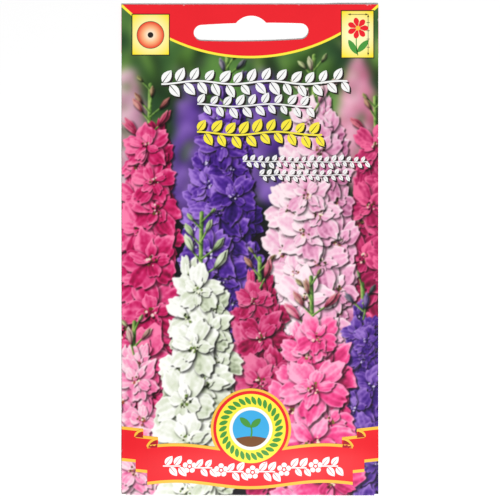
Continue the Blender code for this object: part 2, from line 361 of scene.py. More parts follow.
def print_finish_group():
    """Ink on coated paper: fine speckle, uneven ink, rubbed edges, fibre and gentle waves."""
    if "print_finish" in bpy.data.node_groups:
        return bpy.data.node_groups["print_finish"]
    tree, graph, given, out = new_group(
        "print_finish",
        (
            ("Color", "NodeSocketColor", None),
            ("Roughness", "NodeSocketFloat", 0.4),
            ("Speckle", "NodeSocketFloat", 0.05),
            ("Wear", "NodeSocketFloat", 0.5),
        ),
        (("Color", "NodeSocketColor"), ("Roughness", "NodeSocketFloat"), ("Normal", "NodeSocketVector")),
    )
    place = graph.coordinates()
    fine = graph.noise(place, 5200.0)
    wide = graph.noise(place, 48.0, 3.0)
    fibre = graph.noise(place, 1500.0, 4.0)
    uneven = graph.math("ADD", graph.math("SUBTRACT", fine, 0.5), graph.math("SUBTRACT", wide, 0.5))
    bright = graph.math("MULTIPLY_ADD", uneven, given["Speckle"], 1.0)
    inked = graph.vector("MULTIPLY", given["Color"], graph.combined(bright, bright, bright))
    parts = graph.parts(place)
    from_side = graph.math("SUBTRACT", HALF, graph.math("ABSOLUTE", parts[0]))
    from_end = graph.math("SUBTRACT", HEIGHT / 2, graph.math("ABSOLUTE", parts[1]))
    edge = graph.smooth(graph.math("MINIMUM", from_side, from_end), 0.0, RUBBED_WIDTH, 1.0, 0.0)
    rubbed = graph.math("MULTIPLY_ADD", edge, given["Wear"], graph.noise(place, 700.0, 4.0))
    bare = graph.smooth(rubbed, *RUBBED_OFF)
    graph.feed(out["Color"], graph.blend(bare, inked, BARE_PAPER))
    rough = graph.math("MULTIPLY_ADD", graph.math("SUBTRACT", wide, 0.5), 0.16, given["Roughness"])
    graph.feed(out["Roughness"], graph.math("MULTIPLY_ADD", bare, 0.25, rough, use_clamp=True))
    height = graph.math("MULTIPLY_ADD", fibre, 0.10, graph.noise(place, 70.0, 1.0))
    graph.feed(out["Normal"], graph.bump(height, 0.6, 0.10 * MM))
    return tree


def new_material(name):
    """A material with its graph and its Principled shader."""
    material = bpy.data.materials.new(name)
    material.use_nodes = True
    return material, Graph(material.node_tree), material.node_tree.nodes["Principled BSDF"]


def finish_print(graph, shader, colour, speckle=0.16):
    """Feeds a shader with a colour through the print finish."""
    colours = bpy.context.scene.print_colours
    values = {"Color": colour, "Roughness": colours.gloss, "Speckle": speckle, "Wear": colours.wear}
    group = graph.named("ShaderNodeGroup", values, node_tree=print_finish_group())
    for socket, result in (("Base Color", "Color"), ("Roughness", "Roughness"), ("Normal", "Normal")):
        graph.feed(shader.inputs[socket], group.outputs[result])
    shader.inputs["Specular IOR Level"].default_value = 0.2


def grainy_material(name, scale, detail, tones, roughness, bump, clouds=None):
    """A material whose tone, roughness and relief follow a noise; its tone also follows clouds."""
    material, graph, shader = new_material(name)
    place = graph.coordinates()
    tone = grain = graph.noise(place, scale, detail)
    if clouds:
        tone = graph.math("MULTIPLY_ADD", graph.noise(place, clouds), 0.5, graph.math("MULTIPLY", grain, 0.5))
    graph.feed(shader.inputs["Base Color"], graph.blend(tone, *(opaque(colour) for colour in tones)))
    graph.feed(shader.inputs["Roughness"], graph.smooth(grain, 0.3, 0.7, *roughness))
    graph.feed(shader.inputs["Normal"], graph.bump(grain, *bump))
    return material


def ink(name):
    """The material of one plain ink, made once."""
    label = f"ink_{name}"
    if label not in bpy.data.materials:
        _, graph, shader = new_material(label)
        finish_print(graph, shader, opaque(getattr(bpy.context.scene.print_colours, name)))
    return bpy.data.materials[label]


def finish_piece(piece):
    """The piece goes into the scene and moves with the packet."""
    bpy.context.scene.collection.objects.link(piece)
    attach(piece, "root")
    return piece


def mesh_object(name, points, faces, material):
    """An object from an array of points and a list of faces, shaded smooth."""
    mesh = bpy.data.meshes.new(name)
    mesh.from_pydata(np.asarray(points).tolist(), [], faces)
    mesh.shade_smooth()
    mesh.materials.append(material)
    return bpy.data.objects.new(name, mesh)


def built_object(name, mesh):
    """An object from a bmesh, which is freed."""
    data = bpy.data.meshes.new(name)
    mesh.to_mesh(data)
    mesh.free()
    return bpy.data.objects.new(name, data)


def evaluated_mesh(host):
    """The mesh that an object's modifiers make; the object is removed."""
    bpy.context.scene.collection.objects.link(host)
    graph = bpy.context.evaluated_depsgraph_get()
    mesh = bpy.data.meshes.new_from_object(host.evaluated_get(graph))
    bpy.data.objects.remove(host)
    return mesh


def grid_faces(rows, columns):
    """The quads of a grid of points kept row by row."""
    corner = (np.arange(rows - 1)[:, None] * columns + np.arange(columns - 1)[None, :]).reshape(-1)
    return np.stack([corner, corner + 1, corner + columns + 1, corner + columns], axis=1)


# The folded sheet


def spaced(start, end, step):
    """Even places from start to end, about a step apart."""
    return np.linspace(start, end, max(int(math.ceil(abs(end - start) / step)), 1) + 1)


def fold_arc(sheet, side, up):
    """Points of paper round one side fold at each height, from the layer before it."""
    middle, radius, start = sheet.side_fold(side, up)
    angles = -side * np.linspace(-math.pi / 2, math.pi / 2, FOLD_SEGMENTS + 1)
    x = side * (start[:, None] + radius[:, None] * np.cos(angles))
    z = middle[:, None] + radius[:, None] * np.sin(angles)
    return np.stack([x, np.broadcast_to(up[:, None], x.shape), z], axis=-1)


def layer_points(height, across, up):
    """Points of one flat layer: a row for each height and a column for each place across."""
    x, y = np.meshgrid(across, up)
    return np.stack([x, y, np.broadcast_to(height(x, y), x.shape)], axis=-1)


def slot_half_height(x):
    straight = SLOT_HALF_LENGTH - SLOT_END_RADIUS
    return SLOT_END_RADIUS + SLOT_BOW * (1.0 - (x / straight) ** 2)


def slot_outline(steps=14):
    """The slot's outline on the sheet, anticlockwise."""
    straight = SLOT_HALF_LENGTH - SLOT_END_RADIUS
    low = [(x, -slot_half_height(x)) for x in np.linspace(-straight, straight, 2 * steps)]
    ends = [math.pi * (n / steps - 0.5) for n in range(1, steps)]
    right = [(straight + SLOT_END_RADIUS * math.cos(a), SLOT_END_RADIUS * math.sin(a)) for a in ends]
    high = [(x, slot_half_height(x)) for x in np.linspace(straight, DOME_HALF_WIDTH, steps)]
    dome_radius = (DOME_HALF_WIDTH**2 + DOME_RISE**2) / (2 * DOME_RISE)
    base = slot_half_height(DOME_HALF_WIDTH) + DOME_RISE - dome_radius
    half_angle = math.asin(DOME_HALF_WIDTH / dome_radius)
    turns = [half_angle * (1.0 - 2.0 * n / steps) for n in range(1, steps)]
    dome = [(dome_radius * math.sin(a), base + dome_radius * math.cos(a)) for a in turns]
    left_high = [(-x, y) for x, y in reversed(high)]
    left = [(-x, -y) for x, y in right]
    outline = turned([*low, *right, *high, *dome, *left_high, *left], SLOT_TURN)
    return [(SLOT_CENTRE[0] + x, SLOT_CENTRE[1] + y) for x, y in outline]


def slot_cutter():
    """A prism of the slot through the whole header."""
    mesh = bmesh.new()
    rim = [mesh.verts.new((x, y - HEIGHT / 2, PUNCH_FROM)) for x, y in slot_outline()]
    raised = bmesh.ops.extrude_face_region(mesh, geom=[mesh.faces.new(rim)])["geom"]
    top = [corner for corner in raised if isinstance(corner, bmesh.types.BMVert)]
    bmesh.ops.translate(mesh, verts=top, vec=(0.0, 0.0, PUNCH_HEIGHT))
    bmesh.ops.recalc_face_normals(mesh, faces=mesh.faces)
    cutter = built_object("slot_cutter", mesh)
    bpy.context.scene.collection.objects.link(cutter)
    return cutter


def sheet_rows(step):
    """Where the tube's rows of points stand up the packet."""
    stops = (TUBE_CUT_END, *FLAP_RAMP, POUCH_FULL[1], HEADER_START, HEIGHT)
    return np.concatenate([[stops[0]], *(spaced(a, b, step)[1:] for a, b in zip(stops, stops[1:]))])


def sheet_columns(step):
    """Where the panels' columns of points stand across the packet."""
    stops = (-FLAP_HALF_WIDTH, *SEAM_RAMP, FLAP_HALF_WIDTH)
    inner = [spaced(a, b, step)[1:] for a, b in zip(stops, stops[1:])]
    return np.concatenate([[-POUCH_HALF_WIDTH, -FLAP_HALF_WIDTH], *inner, [POUCH_HALF_WIDTH]])


def folded_sheet_mesh(sheet, step):
    """The middle of the paper: the tube, then the bottom flap hinged from its front."""
    up, across = sheet_rows(step), sheet_columns(step)
    back_across = np.append(across[:-1], BACK_FREE_EDGE)[::-1]
    seam_across = np.append(across[across > SEAM_FLAP_FREE_EDGE][::-1], SEAM_FLAP_FREE_EDGE)
    layers = (
        layer_points(sheet.back, back_across, up),
        fold_arc(sheet, -1, up),
        layer_points(sheet.front, across, up),
        fold_arc(sheet, 1, up),
        layer_points(lambda _, height: sheet.seam(height), seam_across, up),
    )
    tube = np.concatenate(layers, axis=1)
    rows, columns = tube.shape[:2]
    hinge = across[1:-1]
    flap_up = spaced(FLAP_HEIGHT, FLAP_LAST_ROW, 2 * step)
    taper = 1.0 - (1.0 - FLAP_TIP_HALF_WIDTH / FLAP_HALF_WIDTH) * flap_up / FLAP_HEIGHT
    flat = (hinge * taper[:, None], flap_up[:, None], sheet.paper / 2)
    middle, radius, start = sheet.bottom_fold(hinge)
    angles = np.linspace(-math.pi / 2, math.pi / 2, FOLD_SEGMENTS + 1)[:, None]
    arc = (hinge, -start - radius * np.cos(angles), middle + radius * np.sin(angles))
    flap = np.concatenate([np.stack(np.broadcast_arrays(*part), axis=-1) for part in (flat, arc)])
    offset = rows * columns
    last_row = offset + (len(flap) - 1) * len(hinge) + np.arange(len(hinge))
    tube_row = len(back_across) + FOLD_SEGMENTS + 2 + np.arange(len(hinge))
    joint = np.stack([last_row[:-1], last_row[1:], tube_row[1:], tube_row[:-1]], axis=1)
    faces = (grid_faces(rows, columns), grid_faces(len(flap), len(hinge)) + offset, joint)
    points = np.concatenate([tube.reshape(-1, 3), flap.reshape(-1, 3)])
    points[:, 1] -= HEIGHT / 2
    return points, np.concatenate(faces).tolist()


class SEEDPACKET_OT_paper(bpy.types.Operator):
    """Make the folded sheet of paper and punch its slot"""

    bl_idname = "seedpacket.paper"
    bl_label = "Folded paper"

    def execute(self, context):
        sheet = FoldedSheet()
        points, faces = folded_sheet_mesh(sheet, context.scene.packet_shape.mesh_step)
        look = (((0.84, 0.83, 0.80), (0.93, 0.92, 0.90)), (0.48, 0.62), (0.5, 0.02 * MM))
        paper = grainy_material("coated_paper", 1400.0, 5.0, *look, clouds=160.0)
        rough = mesh_object("sheet_middle", points, faces, paper)
        solidify = rough.modifiers.new("thickness", "SOLIDIFY")
        solidify.thickness = sheet.paper
        solidify.offset = 0.0
        solidify.use_even_offset = True
        cutter = slot_cutter()
        punch = rough.modifiers.new("slot", "BOOLEAN")
        punch.operation = "DIFFERENCE"
        punch.object = cutter
        piece = bpy.data.objects.new("folded_sheet", evaluated_mesh(rough))
        piece.data.set_sharp_from_angle(angle=math.radians(40))
        bpy.data.objects.remove(cutter)
        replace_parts(finish_piece(piece), "packet_paper")
        return {"FINISHED"}


# The flower picture, painted point by point and kept as a colour for each point of its mesh


def srgb(*values):
    return np.array(values) / 255.0


LEAF_TONES = (srgb(22, 40, 16), srgb(84, 128, 52), srgb(176, 204, 116))
TONES = {
    "violet": (srgb(18, 6, 52), srgb(82, 42, 150), srgb(172, 132, 222)),
    "magenta": (srgb(72, 0, 30), srgb(200, 26, 96), srgb(255, 132, 176)),
    "crimson": (srgb(60, 2, 26), srgb(168, 24, 84), srgb(244, 110, 156)),
    "pale_pink": (srgb(150, 66, 110), srgb(238, 168, 202), srgb(255, 234, 240)),
    "white": (srgb(88, 102, 68), srgb(212, 220, 194), srgb(255, 255, 250)),
    "hot_pink": (srgb(140, 8, 60), srgb(242, 70, 140), srgb(255, 176, 208)),
    "soft_pink": (srgb(200, 62, 118), srgb(250, 142, 186), srgb(255, 226, 234)),
}
EYES = {
    "violet": (srgb(222, 214, 240), srgb(110, 90, 160), srgb(20, 10, 44)),
    "magenta": (srgb(60, 6, 24), srgb(250, 214, 206), srgb(96, 84, 30)),
    "crimson": (srgb(40, 4, 18), srgb(240, 210, 190), srgb(90, 80, 30)),
    "pale_pink": (srgb(60, 50, 24), srgb(252, 240, 214), srgb(140, 92, 60)),
    "white": (srgb(40, 50, 24), srgb(250, 250, 226), srgb(110, 134, 60)),
    "hot_pink": (srgb(90, 20, 34), srgb(255, 226, 196), srgb(120, 118, 44)),
    "soft_pink": (srgb(96, 70, 30), srgb(255, 240, 214), srgb(168, 84, 60)),
}
PICTURE_LIGHT = (-0.5, 0.86)
PICTURE_SPLIT = 73.0 * MM
PRINT_BLUR = 0.8
UNDER_ARC = 0.6 * MM
GOLDEN_ANGLE = math.pi * (3.0 - math.sqrt(5.0))


def mixed(first, second, share):
    share = np.asarray(share)[..., None]
    return first * (1.0 - share) + second * share


def shaded(tones, lit):
    """The colours between a deep, a middle and a pale tone, for light from 0 to 2."""
    deep, middle, pale = tones
    return np.where((lit < 1)[..., None], mixed(deep, middle, lit), mixed(middle, pale, lit - 1))


def between(grid, row, column, climb, run):
    """Values between the points of a grid, by shares of the way to the next row and column."""
    low = grid[row, column] * (1 - run) + grid[row, column + 1] * run
    high = grid[row + 1, column] * (1 - run) + grid[row + 1, column + 1] * run
    return low * (1 - climb) + high * climb


def noise_field(shape, cells, fields):
    """Smooth random values from 0 to 1, with a number of cells down and across."""
    lattice = fields.random((cells[0] + 3, cells[1] + 3))
    v = np.linspace(0.0, cells[0], shape[0])[:, None]
    u = np.linspace(0.0, cells[1], shape[1])[None, :]
    row, column = v.astype(int), u.astype(int)
    return between(lattice, row, column, rise(0.0, 1.0, v - row), rise(0.0, 1.0, u - column))


def layered_noise(shape, cells, fields, layers=3):
    layered = [0.5**n * noise_field(shape, (cells[0] * 2**n, cells[1] * 2**n), fields) for n in range(layers)]
    return sum(layered) / sum(0.5**n for n in range(layers))


def soften(field, cells):
    """A Gaussian blur with a width in cells."""
    rows, columns = field.shape[:2]
    pad = int(3 * cells) + 1
    wider = np.pad(field, ((pad, pad), (pad, pad), (0, 0)), mode="edge")
    v = np.fft.fftfreq(wider.shape[0])[:, None, None]
    u = np.fft.rfftfreq(wider.shape[1])[None, :, None]
    keep = np.exp(-2.0 * (math.pi * cells) ** 2 * (u * u + v * v))
    spread = np.fft.rfft2(wider, axes=(0, 1)) * keep
    blurred = np.fft.irfft2(spread, s=wider.shape[:2], axes=(0, 1))
    return blurred[pad : pad + rows, pad : pad + columns]


class Canvas:
    """A painting the size of the packet's front, in millimetres."""

    def __init__(self, cell, seed):
        self.cell = cell
        self.width, self.height = WIDTH / MM, HEIGHT / MM
        columns, rows = int(round(self.width / cell)), int(round(self.height / cell))
        self.x = (np.arange(columns) + 0.5) * cell - self.width / 2
        self.y = (np.arange(rows) + 0.5) * cell
        self.colour = np.zeros((rows, columns, 3))
        self.draw = random.Random(seed)
        self.fields = np.random.default_rng(seed)
        cells = (int(self.height / 2.4), int(self.width / 2.4))
        coarse = layered_noise((rows, columns), cells, self.fields, 2)
        fine = noise_field((rows, columns), (int(self.height / 0.7), int(self.width / 0.7)), self.fields)
        self.crinkle = 0.62 * coarse + 0.38 * fine - 0.5

    def window(self, x, y, reach):
        """The part of the painting round a place, or None outside it."""
        left = max(int((x - reach + self.width / 2) / self.cell), 0)
        right = min(int((x + reach + self.width / 2) / self.cell) + 1, len(self.x))
        low = max(int((y - reach) / self.cell), 0)
        high = min(int((y + reach) / self.cell) + 1, len(self.y))
        return (slice(low, high), slice(left, right)) if left < right and low < high else None

    def petal(self, root, angle, length, width, tones, bright, squash=1.0, ruffle=0.10, point=0.12):
        """A ruffled, veined petal from its root, with the shadow it throws."""
        draw = self.draw
        phase, veins, own = draw.uniform(0, math.tau), draw.uniform(9, 13), 0.10 * (draw.random() - 0.5)
        bend = draw.uniform(-0.35, 0.35)
        cut = self.window(root[0], root[1], length * 1.2 + 1.0)
        if cut is None:
            return
        dx = (self.x[cut[1]][None, :] - root[0]) / squash
        dy = self.y[cut[0]][:, None] - root[1]
        c, s = math.cos(angle), math.sin(angle)

        def edge_of(dx, dy):
            along = (dx * c + dy * s) / length
            side = (dy * c - dx * s) / width + bend * along * along
            wave = ruffle * (0.6 * np.sin(7.0 * side + phase) + 0.4 * np.sin(15.0 * side + 2 * phase))
            share = np.maximum(along, 0.0) / (1.0 + wave + point * (np.exp(-((side * 3.4) ** 2)) - 0.5))
            held = np.clip(share, 0, 1)
            profile = held**0.66 * np.sqrt(1.0 - held**3.6)
            edge = (profile - np.abs(side)) * width - np.maximum(share - 1.0, 0.0) * length
            return along, side, held, profile, edge

        drop = 0.05 * length + 0.08
        along, _, _, _, edge = edge_of(dx - drop / squash, dy + drop)
        shade = np.clip((edge + 1.6 * drop) / (2.4 * drop), 0, 1) * (along > -0.05) * 0.58
        along, side, share, profile, edge = edge_of(dx, dy)
        mask = np.clip(edge / (self.cell * 0.9) + 0.5, 0, 1) * (along > 0)
        across = side / np.maximum(profile, 0.06)
        away = np.abs(across)
        vein = (0.5 + 0.5 * np.sin(across * veins + phase + 1.4 * share)) ** 2
        lit = bright + own + 0.15 * (c * PICTURE_LIGHT[0] + s * PICTURE_LIGHT[1]) * (0.3 + share)
        lit = lit + (vein - 0.4) * 0.17 * (0.25 + share) + self.crinkle[cut] * (0.30 + 0.34 * share)
        lit = lit + 0.11 * np.tanh(5.0 * (across - 0.5 * np.sin(2.2 * share + phase)))
        lit = lit - 0.12 * np.exp(-((side * 8.0) ** 2)) * (1 - 0.6 * share)
        lit = lit + 0.16 * rise(0.62, 0.97, share) * (0.55 + 0.45 * np.sin(5 * side + phase))
        lit = lit - 0.40 * (1 - rise(0.04, 0.46, share))
        lit = lit + 0.22 * rise(0.84, 0.96, np.maximum(away, share))
        lit = np.clip(lit, 0.0, 1.0) * 2.0
        under = self.colour[cut] * (1.0 - shade * (1 - mask))[..., None]
        self.colour[cut] = mixed(under, shaded(tones, lit), mask)

    def disc(self, x, y, radius, colour, softness=0.12):
        cut = self.window(x, y, radius + 0.5)
        if cut is not None:
            away = np.hypot(self.x[cut[1]][None, :] - x, self.y[cut[0]][:, None] - y)
            share = np.clip((radius - away) / softness + 0.5, 0, 1)
            self.colour[cut] = mixed(self.colour[cut], colour, share)

    def blossom(self, x, y, size, squash, name, tones, bright, petals=5):
        """Outer petals, a smaller inner ring and a freckled eye."""
        draw = self.draw
        turn = draw.uniform(0, math.tau)
        order = list(range(petals))
        draw.shuffle(order)
        for n in order:
            angle = turn + math.tau * (n + draw.uniform(-0.14, 0.14)) / petals
            long, wide = size * draw.uniform(0.86, 1.10), size * draw.uniform(0.50, 0.66)
            self.petal((x, y), angle, long, wide, tones, bright, squash, point=draw.uniform(0.0, 0.24))
        inner = petals - 1
        for n in range(inner):
            angle = turn + 0.6 + math.tau * (n + draw.uniform(-0.18, 0.18)) / inner
            long, wide = size * draw.uniform(0.48, 0.70), size * draw.uniform(0.26, 0.38)
            self.petal((x, y), angle, long, wide, tones, bright + 0.08, squash, point=draw.uniform(0.05, 0.3))
        for n in range(3):
            angle = draw.uniform(0, math.tau)
            long, wide = size * draw.uniform(0.22, 0.32), size * draw.uniform(0.10, 0.14)
            self.petal((x, y), angle, long, wide, tones, bright + 0.16, squash, point=0.3)
        for n in range(13):
            angle, away = draw.uniform(0, math.tau), size * 0.20 * math.sqrt(draw.random())
            place = (x + away * squash * math.cos(angle), y + away * math.sin(angle))
            self.disc(*place, size * draw.uniform(0.020, 0.052), EYES[name][n % 3])

    def bud(self, x, y, length, angle, tones, bright):
        """A long closed bud with a lighter lobe."""
        look = {"ruffle": 0.0, "point": 0.2}
        self.petal((x, y), angle, length, length * 0.30, tones, bright - 0.06, **look)
        inner = (x + 0.10 * length * math.cos(angle), y + 0.10 * length * math.sin(angle))
        self.petal(inner, angle + 0.14, length * 0.84, length * 0.15, tones, bright + 0.16, **look)

    def stem(self, start, end, thick, tones=LEAF_TONES):
        """A round stem between two places, lit from its left."""
        run, climb = end[0] - start[0], end[1] - start[1]
        length = math.hypot(run, climb)
        cut = self.window((start[0] + end[0]) / 2, (start[1] + end[1]) / 2, length / 2 + thick)
        if cut is None:
            return
        dx, dy = self.x[cut[1]][None, :] - start[0], self.y[cut[0]][:, None] - start[1]
        along = (dx * run + dy * climb) / length
        side = (dx * climb - dy * run) / length
        beyond = np.maximum(np.maximum(-along, along - length), 0.0)
        mask = np.clip((thick / 2 - np.hypot(side, beyond)) / self.cell + 0.5, 0, 1)
        lit = np.clip(0.62 - side / thick + 0.8 * self.crinkle[cut], 0, 1) * 2.0
        self.colour[cut] = mixed(self.colour[cut], shaded(tones, lit), mask)

    def spike(self, name, foot, head, half_width, size, count, bright, buds=0.16, dim=1.0):
        """Blossoms round a stem by the golden angle, the far ones first, and buds at its head."""
        draw = self.draw
        tones = tuple(np.clip(tone * dim, 0, 1) for tone in TONES[name])
        run, climb = head[0] - foot[0], head[1] - foot[1]
        lean = math.atan2(climb, run)
        self.stem(foot, head, 1.3)
        taper_from = 0.55 * (1 - buds)
        placed = []
        for n in range(count):
            share = (n + 0.5) / count
            around = n * GOLDEN_ANGLE + draw.uniform(-0.3, 0.3)
            taper = max(1.0 - max(share - taper_from, 0) * 0.9 / (1 - taper_from), 0.16)
            placed.append((math.cos(around) + draw.uniform(-0.2, 0.2), math.sin(around), share, taper))
        for facing, side, share, taper in sorted(placed):
            if facing < -0.7:
                continue
            x = foot[0] + run * share + side * half_width * taper
            y = foot[1] + climb * share + draw.uniform(-1.2, 1.2)
            if share > 1 - buds:
                open_share = 1.0 - (share - (1 - buds)) / buds
                ripe = 0.15 + 0.75 * open_share
                hues = tuple(mixed(leaf, tone, ripe) for leaf, tone in zip(LEAF_TONES, tones))
                angle = lean - side * 0.8
                tip = (x + 1.6 * math.cos(angle), y + 1.6 * math.sin(angle))
                self.stem((foot[0] + run * share, y - 1.4), tip, 0.6)
                lit = bright + 0.12 * facing - 0.08 * side
                self.bud(*tip, 2.2 + size * 0.5 * open_share, angle, hues, lit)
            else:
                own = size * (0.62 + 0.38 * taper) * draw.uniform(0.86, 1.12)
                lit = bright + 0.17 * facing - 0.12 * side + draw.uniform(-0.07, 0.07)
                self.blossom(x, y, own, max(0.46, 0.55 + 0.45 * facing), name, tones, lit)

    def garden(self):
        """A bed of flower spikes before a blurred green ground."""
        draw = self.draw
        shape = self.colour.shape[:2]
        far, farther = (layered_noise(shape, cells, self.fields) for cells in ((14, 7), (22, 12)))
        top = mixed(srgb(34, 66, 38), srgb(104, 150, 72), np.clip((far - 0.30) * 2.4, 0, 1))
        top = mixed(top, srgb(150, 180, 120), np.clip((farther - 0.62) * 3.0, 0, 1))
        low = mixed(srgb(10, 8, 20), srgb(50, 10, 38), np.clip((far - 0.35) * 2.5, 0, 1))
        low = mixed(low, srgb(20, 40, 28), np.clip((farther - 0.5) * 3.0, 0, 1))
        self.colour = mixed(low, top, rise(84.0, 108.0, self.y[:, None] + 10 * (far - 0.5)))
        for _ in range(26):
            place = (draw.uniform(-42, 42), draw.uniform(84, 134))
            long, wide, angle = draw.uniform(10, 24), draw.uniform(1.6, 3.6), draw.uniform(0.5, 2.6)
            self.petal(place, angle, long, wide, LEAF_TONES, draw.uniform(0.15, 0.6), ruffle=0.02)
        hazy = ((-19, 124, "violet"), (6, 128, "violet"), (33, 132, "soft_pink"), (-38, 128, "pale_pink"))
        for x, y, name in hazy:
            self.spike(name, (x, y - 34), (x + draw.uniform(-3, 3), y + 10), 4.5, 4.2, 26, 0.5)
        self.colour = soften(self.colour, 1.25 / self.cell)
        self.spike("violet", (-11, 34), (-7, 138), 8.5, 8.0, 66, 0.44)
        self.spike("crimson", (41, 36), (39, 124), 7.5, 8.6, 42, 0.46)
        self.spike("magenta", (-34, 16), (-31, 128), 8.0, 9.4, 58, 0.50)
        self.spike("pale_pink", (19, 38), (20, 137), 9.0, 9.0, 60, 0.53)
        self.spike("violet", (37, -4), (35, 66), 6.5, 6.6, 40, 0.42, dim=0.92)
        self.spike("magenta", (4, 8), (3, 74), 7.0, 8.8, 34, 0.44, dim=0.92)
        self.spike("soft_pink", (-38, -12), (-36, 54), 5.5, 8.4, 30, 0.55)
        self.spike("white", (-17, -12), (-15, 88), 8.0, 10.0, 46, 0.57, buds=0.2)
        self.spike("hot_pink", (21, -12), (19, 68), 8.0, 10.4, 38, 0.51, buds=0.2)

    def at(self, x, y):
        """The painting's linear colours at points in millimetres."""
        column = np.clip((x + self.width / 2) / self.cell - 0.5, 0, len(self.x) - 1.001)
        row = np.clip(y / self.cell - 0.5, 0, len(self.y) - 1.001)
        j, i = column.astype(int), row.astype(int)
        colour = between(self.colour, i, j, (row - i)[..., None], (column - j)[..., None])
        shown = np.clip(colour * 1.03 - 0.035, 0, 1)
        return np.where(shown <= 0.04045, shown / 12.92, ((shown + 0.055) / 1.055) ** 2.4)


def picture_material():
    """The painted colours under the print finish."""
    material, graph, shader = new_material("flower_print")
    painted = graph.add("ShaderNodeAttribute", attribute_name="painted").outputs["Color"]
    finish_print(graph, shader, painted, speckle=0.14)
    return material


def arc_height(across):
    """How far up the header's arc passes."""
    return ARC_CENTRE - np.sqrt(ARC_RADIUS**2 - np.minimum(np.abs(across), HALF) ** 2)


def arc_edge(share):
    """One edge of the arc's line, for any place across, inside the sheet."""

    def height(across):
        slope = math.asin(min(abs(across), HALF) / ARC_RADIUS)
        return min(float(arc_height(across)) + (share * ARC_LINE - 0.25 * ARC_LINE) / math.cos(slope), HEIGHT)

    return height


def picture_piece(name, canvas, columns, rows, material):
    """One part of the picture as a fine grid on the sheet, left out under the header's ink."""
    sheet = FoldedSheet()
    x, y = np.meshgrid(columns, rows)
    points = sheet.over_front(x, y, sheet.ink_lift).reshape(-1, 3)
    faces = grid_faces(len(rows), len(columns))
    middle_x, middle_y = ((grid[:-1, :-1] + grid[1:, 1:]).reshape(-1) / 2 for grid in (x, y))
    shown = middle_y < arc_height(middle_x) + UNDER_ARC
    shown &= (middle_y > TUBE_CUT_END) | (np.abs(middle_x) < FLAP_HALF_WIDTH)
    used, faces = np.unique(faces[shown], return_inverse=True)
    piece = mesh_object(name, points[used], faces.reshape(-1, 4).tolist(), material)
    colour = canvas.at(x.reshape(-1)[used] / MM, y.reshape(-1)[used] / MM)
    attribute = piece.data.attributes.new("painted", "FLOAT_COLOR", "POINT")
    attribute.data.foreach_set("color", np.append(colour, np.ones((len(used), 1)), axis=1).ravel())
    finish_piece(piece)


class SEEDPACKET_OT_picture(bpy.types.Operator):
    """Paint the flower picture and print it on the front"""

    bl_idname = "seedpacket.picture"
    bl_label = "Flower picture"

    def execute(self, context):
        picture = context.scene.flower_picture
        cell = picture.cell * 1
        canvas = Canvas(cell / MM / 2, picture.seed)
        canvas.garden()
        canvas.colour = soften(canvas.colour, PRINT_BLUR)
        inner = np.arange(-HALF + 0.75 * MM, HALF - 0.7 * MM, cell)
        folds = np.array([*FOLD_COLUMNS[1:], HALF])
        columns = np.concatenate([-folds[::-1], inner, folds])
        material = picture_material()
        halves = (("picture_lower", 0.0, PICTURE_SPLIT), ("picture_upper", PICTURE_SPLIT, HEIGHT))
        for name, *ends in halves:
            picture_piece(name, canvas, columns, spaced(*ends, cell), material)
        return {"FINISHED"}


# Flat shapes of ink, with spacings of the points that let a shape follow the curved sheet

WIDE_SPACING = 1.5 * MM
BAND_SPACING = 1.4 * MM
FINE_SPACING = 1.0 * MM
FINEST_SPACING = 0.6 * MM


def turned(loop, angle):
    c, s = math.cos(angle), math.sin(angle)
    return [(c * x - s * y, s * x + c * y) for x, y in loop]


def beside(place, away, angle):
    """A place a distance away from another, in a direction."""
    return place[0] + away * math.cos(angle), place[1] + away * math.sin(angle)


def circle(centre, radius, steps=40):
    return [beside(centre, radius, math.tau * n / steps) for n in range(steps)]


def rectangle(left, bottom, right, top):
    return [(left, bottom), (right, bottom), (right, top), (left, top)]


def grown_box(box, more):
    left, bottom, right, top = box
    return rectangle(left - more, bottom - more, right + more, top + more)


def divided(loop, step):
    """The same outline with more points along its long sides, and where it goes over a fold."""
    made = []
    for start, end in zip(loop, loop[1:] + loop[:1]):
        run, climb = end[0] - start[0], end[1] - start[1]
        count = max(int(math.hypot(run, climb) / step), 1)
        shares = [n / count for n in range(count)]
        if abs(run) > 1e-9:
            cuts = [(side * column - start[0]) / run for column in FOLD_COLUMNS for side in (-1, 1)]
            shares = sorted([*shares, *(share for share in cuts if 1e-6 < share < 1 - 1e-6)])
        for share in shares:
            point = (start[0] + run * share, start[1] + climb * share)
            if not made or math.dist(point, made[-1]) > 1e-7:
                made.append(point)
    return made


def leaf_outline(root, angle, length, width, steps=8):
    """A pointed oval from its root."""
    turns = [math.pi * n / steps for n in range(2 * steps)]
    along = [length * (1 - math.cos(turn)) / 2 for turn in turns]
    sides = [-width / 2 * math.copysign(abs(math.sin(turn)) ** 1.5, math.sin(turn)) for turn in turns]
    return [(root[0] + x, root[1] + y) for x, y in turned(zip(along, sides), angle)]


def inside(points, loops):
    """Which points lie inside the outlines, where a second outline inside the first is a hole."""
    points = np.asarray(points)
    crossings = np.zeros(len(points), int)
    for loop in loops:
        start = np.asarray(loop)
        end = np.roll(start, -1, axis=0)
        for (x0, y0), (x1, y1) in zip(start, end):
            if y0 != y1:
                level = (points[:, 1] > min(y0, y1)) & (points[:, 1] <= max(y0, y1))
                crossings += level & (points[:, 0] < x0 + (points[:, 1] - y0) * (x1 - x0) / (y1 - y0))
    return crossings % 2 == 1


